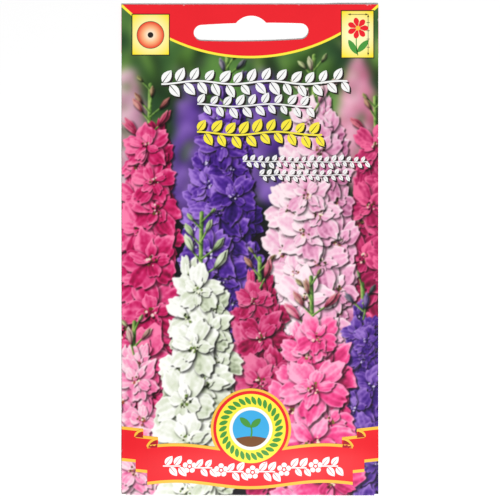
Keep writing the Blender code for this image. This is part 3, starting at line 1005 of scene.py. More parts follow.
def filled(loops, spacing):
    """Points and triangles that fill the outlines, with points inside to follow a curved surface."""
    loops = [divided(list(loop), spacing) for loop in loops]
    rim = np.concatenate([np.asarray(loop) for loop in loops])
    low, high = rim.min(axis=0), rim.max(axis=0)
    across = np.arange(low[0] + spacing / 2, high[0], spacing)
    across = across[np.abs(across) < FLAT_HALF - spacing / 2]
    folds = [side * column for column in FOLD_COLUMNS for side in (-1, 1)]
    across = np.append(across, [x for x in folds if low[0] < x < high[0]])
    up = np.arange(low[1] + spacing / 2, high[1], spacing)
    grid = np.stack(np.meshgrid(across, up), -1).reshape(-1, 2)
    grid = grid[inside(grid, loops)]
    if len(grid):
        away = np.hypot(*(rim[:, None, :] - grid[None, :, :]).transpose(2, 0, 1)).min(axis=0)
        grid = grid[away > np.where(np.abs(grid[:, 0]) < FLAT_HALF, spacing * 0.45, 0.02 * MM)]
    sides, start = [], 0
    for loop in loops:
        sides += [(start + n, start + (n + 1) % len(loop)) for n in range(len(loop))]
        start += len(loop)
    flat = [Vector(point) for point in (np.concatenate([rim, grid]) / MM).tolist()]
    made = delaunay_2d_cdt(flat, sides, [], 0, 1e-6)
    corners = np.array([list(point) for point in made[0]]) * MM
    faces = np.array(made[2])
    return corners, faces[inside(corners[faces].mean(axis=1), loops)].tolist()


class InkShapes:
    """Gathers flat shapes of one ink, a number of ink layers off a face of the sheet."""

    def __init__(self, level, material, face):
        sheet = FoldedSheet()
        self.surface, self.lift = getattr(sheet, face), level * sheet.ink_lift
        self.outwards = 1 if face == "over_front" else -1
        self.material = material
        self.count, self.points, self.faces = 0, [], []

    def put(self, flat, faces):
        """Lays flat points and the faces between them on the sheet."""
        across, up = np.asarray(flat).reshape(-1, 2).T
        self.points.append(self.surface(across, up, self.lift))
        self.faces += [[self.count + corner for corner in face[:: self.outwards]] for face in faces]
        self.count += len(across)

    def add(self, *loops, spacing=WIDE_SPACING):
        """One shape: its outline, then the outlines of its holes."""
        self.put(*filled(loops, spacing))

    def lay(self, x, y):
        """A grid of even cells from its points' places."""
        self.put(np.stack([x, y], axis=-1), grid_faces(*x.shape).tolist())

    def band(self, left, right, low, high, step=BAND_SPACING):
        """A band between two heights, each a number or a function of the place across."""
        across = spaced(left, right, step)
        across = across[np.abs(across) < FLAT_HALF - step / 4]
        folds = [side * column for column in FOLD_COLUMNS for side in (-1, 1) if left < side * column < right]
        across = np.unique(np.round([left, *across, *folds, right], 8))
        low, high = (
            np.array([edge(x) if callable(edge) else edge for x in across], float) for edge in (low, high)
        )
        share = np.linspace(0.0, 1.0, int(math.ceil((high - low).max() / step)) + 1)[:, None]
        self.lay(np.broadcast_to(across, (len(share), len(across))), low + (high - low) * share)

    def strip(self, line, width, closed=False):
        """A line of even width along points."""
        line = np.asarray(line, float)
        ahead = np.roll(line, -1, axis=0) - line
        behind = line - np.roll(line, 1, axis=0)
        if not closed:
            ahead[-1], behind[0] = behind[-1], ahead[0]
        way = ahead / np.hypot(*ahead.T)[:, None] + behind / np.hypot(*behind.T)[:, None]
        way /= np.hypot(*way.T)[:, None]
        out = np.stack([-way[:, 1], way[:, 0]], axis=1) * width / 2
        count = len(line)
        pairs = [(near, (near + 1) % count) for near in range(count if closed else count - 1)]
        quads = [(near, far, far + count, near + count) for near, far in pairs]
        self.put(np.concatenate([line - out, line + out]), quads)

    def plant(self, arrangement, shape, place, values):
        """Plants a motif in one of the arrangements and lays the result down at a place."""
        tree = planting_tree(arrangement)
        flat = grown(tree, {"Motif": shape, "Material": self.material, **values})
        corners = np.array([vertex.co[:2] for vertex in flat.vertices]) + np.asarray(place)
        self.put(corners, [list(polygon.vertices) for polygon in flat.polygons])


@contextmanager
def printed(name, level, finish, face="over_front"):
    """One piece of print, in an ink or a material, that is made when its shapes are gathered."""
    shapes = InkShapes(level, ink(finish) if isinstance(finish, str) else finish, face)
    yield shapes
    made = mesh_object(name, np.concatenate(shapes.points), shapes.faces, shapes.material)
    finish_piece(made)


class SEEDPACKET_OT_header(bpy.types.Operator):
    """Print the red header and the yellow arc under it"""

    bl_idname = "seedpacket.header"
    bl_label = "Header"

    def execute(self, context):
        across = spaced(-FLAT_HALF, FLAT_HALF, FINE_SPACING)
        corners = ((FLAT_HALF, HEIGHT), (-FLAT_HALF, HEIGHT))
        with printed("header_field", 2, "red") as red:
            red.add([*zip(across, arc_height(across)), *corners], slot_outline())
            for left, right in ((-HALF, -FLAT_HALF), (FLAT_HALF, HALF)):
                red.band(left, right, arc_height, HEIGHT)
        with printed("header_arc", 3, "yellow") as line:
            line.band(-HALF, HALF, arc_edge(-0.5), arc_edge(0.5))
        return {"FINISHED"}


# Motifs that Geometry Nodes plant in rows, rings and fields

PLANT_INPUTS = (
    ("Motif", "NodeSocketObject", None),
    ("Material", "NodeSocketMaterial", None),
    ("Count", "NodeSocketInt", 12),
    ("Variation", "NodeSocketFloat", 0.0),
    ("Seed", "NodeSocketInt", 1),
)
GEOMETRY = (("Geometry", "NodeSocketGeometry"),)


def along_row(graph, given):
    """Points along a wave, turned with it, that lean to one side and the other by turns."""
    half = graph.math("MULTIPLY", given["Length"], 0.5)
    values = {"Count": given["Count"], "Start Location": graph.combined(graph.math("MULTIPLY", half, -1.0))}
    values["Offset"] = graph.combined(half)
    line = graph.named("GeometryNodeMeshLine", values, mode="END_POINTS")
    along = graph.parts(graph.position())[0]
    pitch = graph.math("DIVIDE", graph.math("MULTIPLY", given["Waves"], math.tau), given["Length"])
    phase = graph.math("MULTIPLY", along, pitch)
    swung = graph.math("MULTIPLY", given["Swing"], graph.math("SINE", phase))
    waved = graph.named(
        "GeometryNodeSetPosition", {"Geometry": line.outputs[0], "Offset": graph.combined(0.0, swung)}
    )
    climb = graph.math("MULTIPLY", graph.math("MULTIPLY", given["Swing"], pitch), graph.math("COSINE", phase))
    odd = graph.math("MODULO", graph.add("GeometryNodeInputIndex").outputs[0], 2.0)
    side = graph.math("MULTIPLY_ADD", odd, -2.0, 1.0)
    return waved, graph.math("MULTIPLY_ADD", side, given["Lean"], graph.math("ARCTANGENT", climb))


def round_ring(graph, given):
    """Points round a circle, all turned outwards."""
    circled = graph.named("GeometryNodeMeshCircle", {"Vertices": given["Count"], "Radius": given["Radius"]})
    place = graph.parts(graph.position())
    return circled, graph.math("ADD", graph.math("ARCTAN2", place[1], place[0]), given["Twist"])


def over_field(graph, given):
    """Points in rows and columns."""
    sizes = {"Size X": "Width", "Size Y": "Height", "Vertices X": "Count", "Vertices Y": "Rows"}
    values = {socket: given[name] for socket, name in sizes.items()}
    return graph.named("GeometryNodeMeshGrid", values), 0.0


ARRANGEMENTS = {
    along_row: (("Length", 40.0 * MM), ("Swing", 1.0 * MM), ("Waves", 2.0), ("Lean", 0.8)),
    round_ring: (("Radius", 9.0 * MM), ("Twist", 0.0)),
    over_field: (("Rows", 3), ("Width", 40.0 * MM), ("Height", 10.0 * MM)),
}


def instanced(graph, points, source, rotation, scale):
    """Real copies of a motif object on points."""
    shape = graph.named("GeometryNodeObjectInfo", {"Object": source}).outputs["Geometry"]
    values = {"Points": points, "Instance": shape, "Rotation": rotation, "Scale": scale}
    placed = graph.named("GeometryNodeInstanceOnPoints", values)
    return graph.named("GeometryNodeRealizeInstances", {"Geometry": placed.outputs[0]}).outputs[0]


def dressed(graph, given, out, geometry):
    """Ends a tree with the material that it is given."""
    values = {"Geometry": geometry, "Material": given["Material"]}
    graph.feed(out["Geometry"], graph.named("GeometryNodeSetMaterial", values).outputs[0])


def planting_tree(arrangement):
    """The tree of one arrangement, made once: a motif on every point, made real, with its material."""
    name = f"motifs_{arrangement.__name__}"
    if name in bpy.data.node_groups:
        return bpy.data.node_groups[name]
    kinds = {int: "NodeSocketInt", float: "NodeSocketFloat"}
    sizes = tuple((label, kinds[type(value)], value) for label, value in ARRANGEMENTS[arrangement])
    tree, graph, given, out = new_group(name, PLANT_INPUTS + sizes, GEOMETRY, "GeometryNodeTree")
    points, turn = arrangement(graph, given)
    least = graph.math("SUBTRACT", 1.0, given["Variation"])
    most = graph.math("ADD", 1.0, given["Variation"])
    size = graph.named("FunctionNodeRandomValue", {"Min": least, "Max": most, "Seed": given["Seed"]})
    scale = next(socket for socket in size.outputs if socket.enabled)
    rotation = graph.combined(0.0, 0.0, turn)
    dressed(graph, given, out, instanced(graph, points.outputs[0], given["Motif"], rotation, scale))
    return tree


def grown(tree, values, points=(), attributes=()):
    """The mesh that a tree makes from named values."""
    mesh = bpy.data.meshes.new("ground")
    mesh.from_pydata(points, [], [])
    for name, vectors in attributes:
        mesh.attributes.new(name, "FLOAT_VECTOR", "POINT").data.foreach_set("vector", np.ravel(vectors))
    host = bpy.data.objects.new("ground", mesh)
    modifier = host.modifiers.new("grown", "NODES")
    modifier.node_group = tree
    for item in tree.interface.items_tree:
        if item.item_type == "SOCKET" and item.name in values:
            modifier[item.identifier] = values[item.name]
    return evaluated_mesh(host)


def motif(name, *loops):
    """A small flat shape, each outline filled from its middle."""
    mesh = bmesh.new()
    for loop in loops:
        rim = [mesh.verts.new((x, y, 0.0)) for x, y in loop]
        middle = mesh.verts.new((*np.mean(loop, axis=0), 0.0))
        for near, far in zip(rim, rim[1:] + rim[:1]):
            mesh.faces.new((middle, near, far))
    return built_object(name, mesh)


def split_leaf(length, width, steps=7):
    """A leaf in two halves, with its midrib left open, that starts a little off its stem."""
    share = np.linspace(0.0, 1.0, steps)
    rib = 0.03 * length * (1.0 - share) ** 0.7
    out = rib + width / 2 * np.sin(math.pi * share**0.85) ** 0.85
    along = (0.115 + 0.885 * share) * length
    low = list(zip(along, -out)) + list(zip(along[-2:0:-1], -rib[-2:0:-1]))
    high = list(zip(along[1:-1], rib[1:-1])) + list(zip(along[::-1], out[::-1]))
    return low, high


def petal_outline(radius, count, inner=0.22, shoulder=0.62, room=0.86):
    """One of a number of petals that stand side by side without touching, along the x axis."""
    wide = room * math.tan(math.pi / count)
    root, bulge = inner * radius, shoulder * radius
    tip = [math.pi * (n / 8 - 0.5) for n in range(9)]
    rounded = [(bulge + (radius - bulge) * math.cos(a), bulge * wide * math.sin(a)) for a in tip]
    return [(root, -root * wide), *rounded, (root, root * wide)]


def blossom_outlines(radius, petals=5, turn=0.3):
    """Rounded petals with a little room between them, and a middle."""
    petal = petal_outline(radius, petals, inner=0.34)
    around = [turned(petal, turn + math.tau * n / petals) for n in range(petals)]
    return [*around, circle((0, 0), 0.2 * radius, 12)]


# The printed panels with their signs

LEFT_PANEL = tuple(v * MM for v in (-36.9, 137.1, -25.0, 150.1))
RIGHT_PANEL = tuple(v * MM for v in (28.3, 136.2, 38.7, 151.2))
PANEL_GLOW = ((0.35, (1.0, 0.95, 0.52)), (0.9, (1.0, 0.80, 0.025)))
SUN_PLACE = (-31.0 * MM, 143.5 * MM)
SUN_RADIUS = 4.2 * MM
SUN_GLOW = ((0.12, (1.0, 0.93, 0.72)), (0.55, (1.0, 0.50, 0.24)), (0.92, (0.88, 0.10, 0.04)))
SIGN_FLOWER = (33.6 * MM, 145.6 * MM)
SIGN_FOOT = RIGHT_PANEL[1] + 0.9 * MM
OUTLINE = 0.28 * MM
THIN_LINE = 0.16 * MM


def glow_ink(name, centre, radius, stops):
    """An ink whose colour changes from a centre outwards, by (share, colour) stops."""
    material, graph, shader = new_material(f"ink_{name}")
    flat = graph.vector("MULTIPLY", graph.coordinates(), (1.0, 1.0, 0.0))
    away = graph.vector("DISTANCE", flat, (centre[0], centre[1] - HEIGHT / 2, 0.0))
    ramp = graph.add("ShaderNodeValToRGB", graph.math("DIVIDE", away, radius))
    elements = ramp.color_ramp.elements
    for element, (share, colour) in zip(elements, (stops[0], stops[-1])):
        element.position, element.color = share, opaque(colour)
    for share, colour in stops[1:-1]:
        elements.new(share).color = opaque(colour)
    finish_print(graph, shader, ramp.outputs["Color"])
    return material


class SEEDPACKET_OT_panels(bpy.types.Operator):
    """Print the two yellow panels with the signs for sun and for the plant's size"""

    bl_idname = "seedpacket.panels"
    bl_label = "Sign panels"

    def execute(self, context):
        with printed("panel_frames", 4, "dark") as frames:
            for name, box in (("left_panel", LEFT_PANEL), ("right_panel", RIGHT_PANEL)):
                frames.add(rectangle(*box))
                middle = ((box[0] + box[2]) / 2, (box[1] + box[3]) / 2)
                reach = math.dist(box[:2], box[2:]) / 2
                with printed(name, 5, glow_ink(name, middle, reach, PANEL_GLOW)) as panel:
                    panel.add(grown_box(box, -OUTLINE))
        self.sun()
        self.plant()
        self.arrows()
        return {"FINISHED"}

    def sun(self):
        """A glowing disc with a thin outline and a dark dot."""
        with printed("sun_disc", 6, glow_ink("sun", SUN_PLACE, SUN_RADIUS, SUN_GLOW)) as disc:
            disc.add(circle(SUN_PLACE, SUN_RADIUS))
        with printed("sun_marks", 7, "dark") as marks:
            marks.strip(circle(SUN_PLACE, SUN_RADIUS), THIN_LINE, closed=True)
            marks.add(circle(SUN_PLACE, 0.9 * MM, steps=20), spacing=FINEST_SPACING)

    def plant(self):
        """A flower on its stem."""
        x, y = SIGN_FLOWER
        foot = SIGN_FOOT
        with printed("sign_leaves", 6, "green") as green:
            bend = np.linspace(0.0, 1.0, 12)
            green.strip([(x - 0.5 * MM * math.sin(math.pi * t), y + (foot - y) * t) for t in bend], 0.3 * MM)
            for side, lean, up in ((-1, 0.75, 1.0), (1, 0.55, 0.4)):
                root = (x - 0.2 * MM, foot + up * MM)
                outline = leaf_outline(root, math.pi / 2 + side * lean, 5.2 * MM, 1.9 * MM)
                green.add(outline, spacing=FINE_SPACING)
        ring_radius = 0.5 * MM
        petal = [(along - ring_radius, side) for along, side in petal_outline(3.3 * MM, 7)]
        with printed("sign_petals", 7, "red") as petals:
            shape = motif("sign_petal", petal)
            petals.plant(round_ring, shape, SIGN_FLOWER, {"Count": 7, "Radius": ring_radius})
        with printed("sign_heart", 8, "gold") as heart:
            heart.add(circle(SIGN_FLOWER, 0.75 * MM, steps=16), spacing=FINEST_SPACING)

    def arrows(self):
        """Two measuring arrows, for the flower's width and height, with marks along the tall one."""
        foot, top = SIGN_FOOT, RIGHT_PANEL[3] - 1.3 * MM
        left, right = SIGN_FLOWER[0] - 3.1 * MM, RIGHT_PANEL[2] - 1.9 * MM
        with printed("size_arrows", 6, "dark") as arrows:
            for start, end in (((left, top), (right, top)), ((right, top), (right, foot))):
                arrows.strip([start, end], THIN_LINE)
                for tip, other in ((start, end), (end, start)):
                    angle = math.atan2(other[1] - tip[1], other[0] - tip[0])
                    barbs = [beside(tip, 0.9 * MM, angle + spread) for spread in (-0.35, 0.35)]
                    arrows.add([tip, *barbs], spacing=FINE_SPACING)
            for share in np.linspace(0.2, 0.8, 4):
                level = top + (foot - top) * share
                arrows.strip([(right - 0.5 * MM, level), (right + 0.5 * MM, level)], THIN_LINE)


# Garlands in millimetres: ink, middle, length, leaf, leaves, swing and waves

GARLANDS = (
    ("white", (0.4, 128.7), 56.0, (4.9, 2.5), 26, 0.5, 2.5),
    ("white", (0.6, 121.6), 34.0, (4.1, 2.1), 18, 0.4, 1.5),
    ("yellow", (2.0, 112.8), 37.0, (4.9, 2.6), 18, 0.5, 1.5),
    ("white", (16.8, 104.0), 38.0, (2.3, 1.2), 34, 0.15, 4.0),
    ("white", (16.4, 99.8), 27.0, (2.3, 1.2), 24, 0.15, 3.0),
)
GARLAND_LEAN = 0.95
SHADOW_SHIFT = (0.55 * MM, -0.6 * MM)
LEAF_VARIATION = 0.12


class SEEDPACKET_OT_garlands(bpy.types.Operator):
    """Print leafy garlands with a drop shadow in the upper half"""

    bl_idname = "seedpacket.garlands"
    bl_label = "Garlands"

    def execute(self, context):
        with (
            printed("garland_shadows", 2, "dark") as shadows,
            printed("garlands_yellow", 3, "yellow") as yellow,
            printed("garlands_white", 3, "white") as white,
        ):
            lights = {"white": white, "yellow": yellow}
            for seed, (name, middle, long, leaf, count, swing, waves) in enumerate(GARLANDS):
                place = np.array(middle) * MM
                shape = motif("garland_leaf", *split_leaf(leaf[0] * MM, leaf[1] * MM))
                values = {
                    "Count": count,
                    "Variation": LEAF_VARIATION,
                    "Seed": seed,
                    "Length": long * MM,
                    "Swing": swing * MM,
                    "Waves": waves,
                    "Lean": GARLAND_LEAN,
                }
                stem = spaced(-long / 2 * MM, (long / 2 + leaf[0] * 0.4) * MM, 0.8 * MM)
                swung = swing * MM * np.sin(math.tau * waves * stem / (long * MM))
                for shapes, shift in ((lights[name], (0.0, 0.0)), (shadows, SHADOW_SHIFT)):
                    shapes.plant(along_row, shape, place + shift, values)
                    shapes.strip(np.stack([stem, swung], axis=1) + place + shift, 0.11 * leaf[0] * MM)
        return {"FINISHED"}


# The scroll across the foot of the front: a main band, and two folds behind each of its ends

SCROLL_END = 32.0 * MM
SCROLL_MIDDLE = 9.2 * MM
SCROLL_HALF = 6.2 * MM
SCROLL_SWING = 1.0 * MM
SCROLL_WAVE = 46.0 * MM
GOLD_EDGE = 0.95 * MM
CURL_BOW = 0.9 * MM
CURL_WIDTH = 0.8 * GOLD_EDGE
SHADE_DROP = 0.42 * GOLD_EDGE
FOLD_BAND = (28.6 * MM, 35.6 * MM, 12.5 * MM, 5.8 * MM)
TAIL_BAND = (33.2 * MM, HALF, 15.5 * MM, 5.4 * MM)
BAND_SLOPE = 0.10
SPRIG_PITCH = 9.8 * MM
SPRIG_DROP = 0.9 * MM


def scroll_middle(x):
    return SCROLL_MIDDLE - SCROLL_SWING * math.cos(math.tau * x / SCROLL_WAVE)


def edges(middle, half):
    """The lower and upper edge of a band, as functions of the place across."""
    return (lambda x: middle(x) - half), (lambda x: middle(x) + half)


def side_middle(band):
    """The middle of a band behind the scroll's end, which rises a little outwards."""
    start, _, middle, _ = band
    return lambda x: middle + BAND_SLOPE * (abs(x) - start)


def gold_edged(name, level, middle, half, *spans):
    """Red bands over slightly taller gold ones, between pairs of places across."""
    for part, finish, inward in ((0, "gold", 0.0), (1, "red", GOLD_EDGE)):
        with printed(f"{name}_{finish}", level + part, finish) as bands:
            for span in spans:
                bands.band(*span, *edges(middle, half - inward))


class SEEDPACKET_OT_scroll(bpy.types.Operator):
    """Print the red scroll with gold edges and its row of white sprigs"""

    bl_idname = "seedpacket.scroll"
    bl_label = "Scroll"

    def execute(self, context):
        for name, band, level in (("scroll_tail", TAIL_BAND, 2), ("scroll_fold", FOLD_BAND, 4)):
            start, end, _, half = band
            gold_edged(name, level, side_middle(band), half, (-end, -start), (start, end))
        self.curls()
        gold_edged("scroll", 6, scroll_middle, SCROLL_HALF, (-SCROLL_END, SCROLL_END))
        self.sprigs()
        return {"FINISHED"}

    def curls(self):
        """The shaded inside of each fold, and the gold edge that curls round it."""
        fold_start, fold_end, fold_middle, fold_half = FOLD_BAND
        tail_start, _, tail_middle, tail_half = TAIL_BAND
        fold_low = side_middle(FOLD_BAND)(fold_end) + fold_half
        rises = (
            (SCROLL_END, scroll_middle(SCROLL_END) + SCROLL_HALF, fold_start, fold_middle + fold_half),
            (fold_end, fold_low, tail_start, tail_middle + tail_half),
        )
        turns = np.linspace(0.0, 1.0, 13)
        with (
            printed("scroll_curls", 6, "gold") as gold,
            printed("scroll_shade", 6, "shade") as dim,
        ):
            for out, low, back, high in rises:
                across = [out + (back - out) * t + CURL_BOW * math.sin(math.pi * t) for t in turns]
                up = [low - GOLD_EDGE / 2 + (high - low) * rise(0.0, 1.0, t) for t in turns]
                for side in (-1, 1):
                    line = [(side * x, y) for x, y in zip(across, up)]
                    gold.strip(line, CURL_WIDTH)
                    loop = [(x, y - SHADE_DROP) for x, y in line[2:-1]]
                    loop.append((side * back, low - GOLD_EDGE))
                    dim.add(loop[::side], spacing=FINE_SPACING)

    def sprigs(self):
        """White sprigs and small blossoms in a row along the scroll."""
        leaf = motif("sprig_leaf", *split_leaf(3.7 * MM, 1.9 * MM))
        blossom = motif("sprig_blossom", *blossom_outlines(2.2 * MM))
        row_values = {"Count": 4, "Variation": LEAF_VARIATION, "Length": 4.2 * MM}
        row_values |= {"Swing": 0.0, "Waves": 1.0, "Lean": 0.9}
        with printed("scroll_sprigs", 8, "white") as white:
            for n in range(6):
                x = (n - 2.5) * SPRIG_PITCH
                middle = scroll_middle(x) - SPRIG_DROP
                white.plant(along_row, leaf, (x, middle), {**row_values, "Seed": n})
                white.strip([(x - 2.6 * MM, middle), (x + 2.9 * MM, middle)], 0.4 * MM)
            for n in range(5):
                x = (n - 2.0) * SPRIG_PITCH + 0.8 * MM
                single = {"Count": 1, "Rows": 1, "Width": 0.0, "Height": 0.0}
                white.plant(over_field, blossom, (x, scroll_middle(x) - SPRIG_DROP), single)


# The round medallion over the scroll

MEDALLION = (0.3 * MM, 21.0 * MM)
SKY_RADIUS = 5.7 * MM


class SEEDPACKET_OT_medallion(bpy.types.Operator):
    """Print the round medallion with a ring of leaves and a seedling"""

    bl_idname = "seedpacket.medallion"
    bl_label = "Medallion"

    def execute(self, context):
        self.discs(72, ("gold", 12.5 * MM, 4), ("red", 11.7 * MM, 8), ("yellow", 10.8 * MM, 9))
        leaf = motif("ring_leaf", leaf_outline((-1.4 * MM, 0.0), 0.0, 2.9 * MM, 1.35 * MM, steps=6))
        with printed("medallion_leaves", 10, "green") as leaves:
            leaves.plant(round_ring, leaf, MEDALLION, {"Count": 30, "Radius": 8.7 * MM, "Twist": 0.55})
        self.discs(56, ("white", 6.7 * MM, 10), ("sky", SKY_RADIUS, 11))
        self.seedling()
        return {"FINISHED"}

    def discs(self, steps, *rounds):
        for name, radius, level in rounds:
            with printed(f"medallion_{name}", level, name) as disc:
                disc.add(circle(MEDALLION, radius, steps))

    def seedling(self):
        """Two leaves on a stem over a hump of soil."""
        x, y = MEDALLION
        rim = [beside(MEDALLION, SKY_RADIUS, math.pi * (1.18 + 0.64 * n / 20)) for n in range(21)]
        ground, half = rim[0][1], rim[-1][0] - x
        shares = [n / 12 for n in range(1, 12)]
        hump = [(x + half * (1 - 2 * t), ground + 0.7 * MM * math.sin(math.pi * t)) for t in shares]
        with printed("medallion_soil", 12, "soil") as soil:
            soil.add(rim + hump, spacing=FINE_SPACING)
        foot, head = ground + 0.4 * MM, y + 0.6 * MM
        with printed("medallion_sprout", 13, "green") as sprout:
            climb = np.linspace(0, 1, 10)
            stem = [(x + 0.25 * MM * math.sin(3 * t), foot + (head - foot) * t) for t in climb]
            sprout.strip(stem, 0.5 * MM)
            for side, length in ((-1, 4.0), (1, 4.6)):
                outline = leaf_outline((x, head - 0.2 * MM), math.pi / 2 + side * 0.85, length * MM, 2.0 * MM)
                sprout.add(outline, spacing=FINE_SPACING)


# The back: a plain ground with a red head, a green frame, a sowing calendar and ruled lines

BACK_HEAD = 138.0 * MM
BACK_SEAM = SEAM_FLAP_FREE_EDGE + 0.3 * MM
BACK_FRAME = tuple(v * MM for v in (-36.0, 20.0, 27.0, 132.0))
CALENDAR = tuple(v * MM for v in (-33.5, 100.0, 24.5, 124.0))
MONTHS = 12
CALENDAR_BARS = (("gold", 2, 2, 3), ("sky", 1, 4, 2), ("red", 0, 6, 4))
CALENDAR_LINE = 0.18 * MM
BAR_START = 0.28
BAR_HEIGHT = 0.44
CARE_SIGNS = (-28.5 * MM, 90.0 * MM)
CARE_PITCH = 16.0 * MM
CARE_RADIUS = 4.6 * MM
FLAP_ROWS = (0.0, 0.1, 0.2, 0.3, 0.45, 0.6, 1.0, *np.arange(2.0, 12.01, 1.0))


def back_printed(name, level, finish):
    return printed(name, level, finish, "under_back")


class SEEDPACKET_OT_back(bpy.types.Operator):
    """Print the back, its seam flap and its bottom flap"""

    bl_idname = "seedpacket.back"
    bl_label = "Back print"

    def execute(self, context):
        self.grounds()
        self.frame_and_lines()
        self.calendar()
        self.signs()
        return {"FINISHED"}

    def grounds(self):
        """The plain ground, red head and yellow line of the back and of its seam flap."""
        back, seam = (-HALF, BACK_SEAM), (SEAM_FLAP_FREE_EDGE, HALF)
        for part, face, ends in (("back", "under_back", back), ("seam_flap", "under_seam", seam)):
            with printed(f"{part}_ground", 1, "cream", face) as ground:
                ground.band(*ends, TUBE_CUT_END, BACK_HEAD)
            with printed(f"{part}_head", 2, "red", face) as head:
                if part == "back":
                    head.add(rectangle(-FLAT_HALF, BACK_HEAD, BACK_SEAM, HEIGHT), slot_outline())
                    head.band(-HALF, -FLAT_HALF, BACK_HEAD, HEIGHT)
                else:
                    head.band(*ends, BACK_HEAD, HEIGHT)
            with printed(f"{part}_line", 3, "yellow", face) as line:
                line.band(*ends, BACK_HEAD - ARC_LINE / 2, BACK_HEAD + ARC_LINE / 2)
        rows = np.array(FLAP_ROWS) * MM
        wide = FLAP_HALF_WIDTH - (FLAP_HALF_WIDTH - FLAP_TIP_HALF_WIDTH) * rows / FLAP_HEIGHT
        share = np.linspace(-1.0, 1.0, 60)
        with printed("bottom_flap_ground", 1, "cream", "under_flap") as flap:
            flap.lay(share[None, :] * wide[:, None], np.repeat(rows[:, None], len(share), axis=1))

    def frame_and_lines(self):
        """A green double frame and grey ruled lines."""
        with back_printed("back_frame", 2, "green") as lines:
            for inward, width in ((0.0, 0.5), (1.0, 0.2)):
                box = grown_box(BACK_FRAME, -inward * MM)
                lines.strip(divided(box, WIDE_SPACING), width * MM, closed=True)
        rule = motif("rule", divided(rectangle(-0.6 * MM, -0.09 * MM, 0.6 * MM, 0.09 * MM), FINE_SPACING))
        with back_printed("back_rules", 2, "grey") as rules:
            values = {"Count": 49, "Rows": 14, "Width": 56.0 * MM, "Height": 52.0 * MM}
            rules.plant(over_field, rule, (-4.5 * MM, 53.0 * MM), values)

    def calendar(self):
        """A column for each month and three rows, with bars for sowing, planting out and flowering."""
        left, bottom, right, top = CALENDAR
        cell, tall = (right - left) / MONTHS, (top - bottom) / 3
        with back_printed("calendar_lines", 2, "green") as lines:
            up = np.linspace(bottom, top, int((top - bottom) / WIDE_SPACING) + 1)
            for n in range(MONTHS + 1):
                x = left + (right - left) * n / MONTHS
                lines.strip([(x, y) for y in up], CALENDAR_LINE)
            for n in range(4):
                y = bottom + (top - bottom) * n / 3
                lines.strip([(x, y) for x in spaced(left, right, WIDE_SPACING)], CALENDAR_LINE)
        for name, level, start, count in CALENDAR_BARS:
            with back_printed(f"calendar_{name}", 3, name) as bar:
                low = bottom + tall * (level + BAR_START)
                high = low + tall * BAR_HEIGHT
                bar.add(rectangle(left + cell * start, low, left + cell * (start + count), high))
        dot = motif("dot", circle((0.0, 0.0), 0.28 * MM, steps=10))
        with back_printed("calendar_dots", 3, "dark") as dots:
            values = {"Count": MONTHS, "Rows": 1, "Width": right - left - cell, "Height": 0.0}
            dots.plant(over_field, dot, ((left + right) / 2, top + 1.6 * MM), values)

    def signs(self):
        """Four round signs: sun, water, leaf and soil."""
        for n, name in enumerate(("gold", "sky", "green", "soil")):
            middle = (CARE_SIGNS[0] + n * CARE_PITCH, CARE_SIGNS[1])
            with back_printed(f"sign_{name}", 2, name) as disc:
                disc.add(circle(middle, CARE_RADIUS))
            with back_printed(f"sign_mark_{name}", 3, "white") as mark:
                if name == "gold":
                    ray = motif("ray", leaf_outline((0.0, 0.0), 0.0, 1.3 * MM, 0.6 * MM, steps=5))
                    mark.plant(round_ring, ray, middle, {"Count": 12, "Radius": 2.3 * MM})
                    mark.add(circle(middle, 1.8 * MM, steps=24))
                elif name == "soil":
                    across = np.linspace(-2.8, 2.8, 24)
                    for level in (-1.4, 0.0, 1.4):
                        wave = np.stack([across, level + 0.35 * np.sin(2.6 * across)], axis=1)
                        mark.strip(wave * MM + middle, 0.35 * MM)
                else:
                    lean = 1.2 if name == "green" else math.pi / 2
                    root = beside(middle, -2.9 * MM, lean)
                    mark.add(leaf_outline(root, lean, 5.8 * MM, 3.2 * MM), spacing=FINE_SPACING)


class SEEDPACKET_OT_glue(bpy.types.Operator):
    """Give the glue films their milky, slightly rippled finish"""

    bl_idname = "seedpacket.glue"
    bl_label = "Glue"

    def execute(self, context):
        look = (((0.80, 0.76, 0.62), (0.92, 0.90, 0.82)), (0.22, 0.42), (0.5, 0.03 * MM))
        material = grainy_material("dried_glue", 420.0, 3.0, *look)
        for name in ("seam_glue", "bottom_flap_glue", "header_glue"):
            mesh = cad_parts[name].data
            mesh.materials.clear()
            mesh.materials.append(material)
        return {"FINISHED"}


# The loose seeds

WRINKLE_SCALE = 2100.0
WRINKLE_GAIN = 3.0


def seed_tree():
    """Seeds on points, turned and sized by the points' own attributes, then wrinkled inwards."""
    inputs = (
        ("Geometry", "NodeSocketGeometry", None),
        ("Seed shape", "NodeSocketObject", None),
        ("Wrinkles", "NodeSocketFloat", 0.05 * MM),
        ("Material", "NodeSocketMaterial", None),
    )
    tree, graph, given, out = new_group("wrinkled_seeds", inputs, GEOMETRY, "GeometryNodeTree")
    turn, size = (
        graph.named("GeometryNodeInputNamedAttribute", {"Name": name}, data_type="FLOAT_VECTOR").outputs[0]
        for name in ("turn", "size")
    )
    seeds = instanced(graph, given["Geometry"], given["Seed shape"], turn, size)
    folds = graph.noise(graph.position(), WRINKLE_SCALE)
    ridge = graph.math("ABSOLUTE", graph.math("MULTIPLY_ADD", folds, 2.0, -1.0))
    depth = graph.math("MULTIPLY", graph.math("MULTIPLY", ridge, -WRINKLE_GAIN), given["Wrinkles"])
    inwards = graph.add("ShaderNodeVectorMath", operation="SCALE")
    graph.feed(inwards.inputs[0], graph.add("GeometryNodeInputNormal").outputs[0])
    graph.feed(inwards.inputs["Scale"], depth)
    wrinkled = graph.named("GeometryNodeSetPosition", {"Geometry": seeds, "Offset": inwards.outputs[0]})
    dressed(graph, given, out, wrinkled.outputs[0])
    return tree


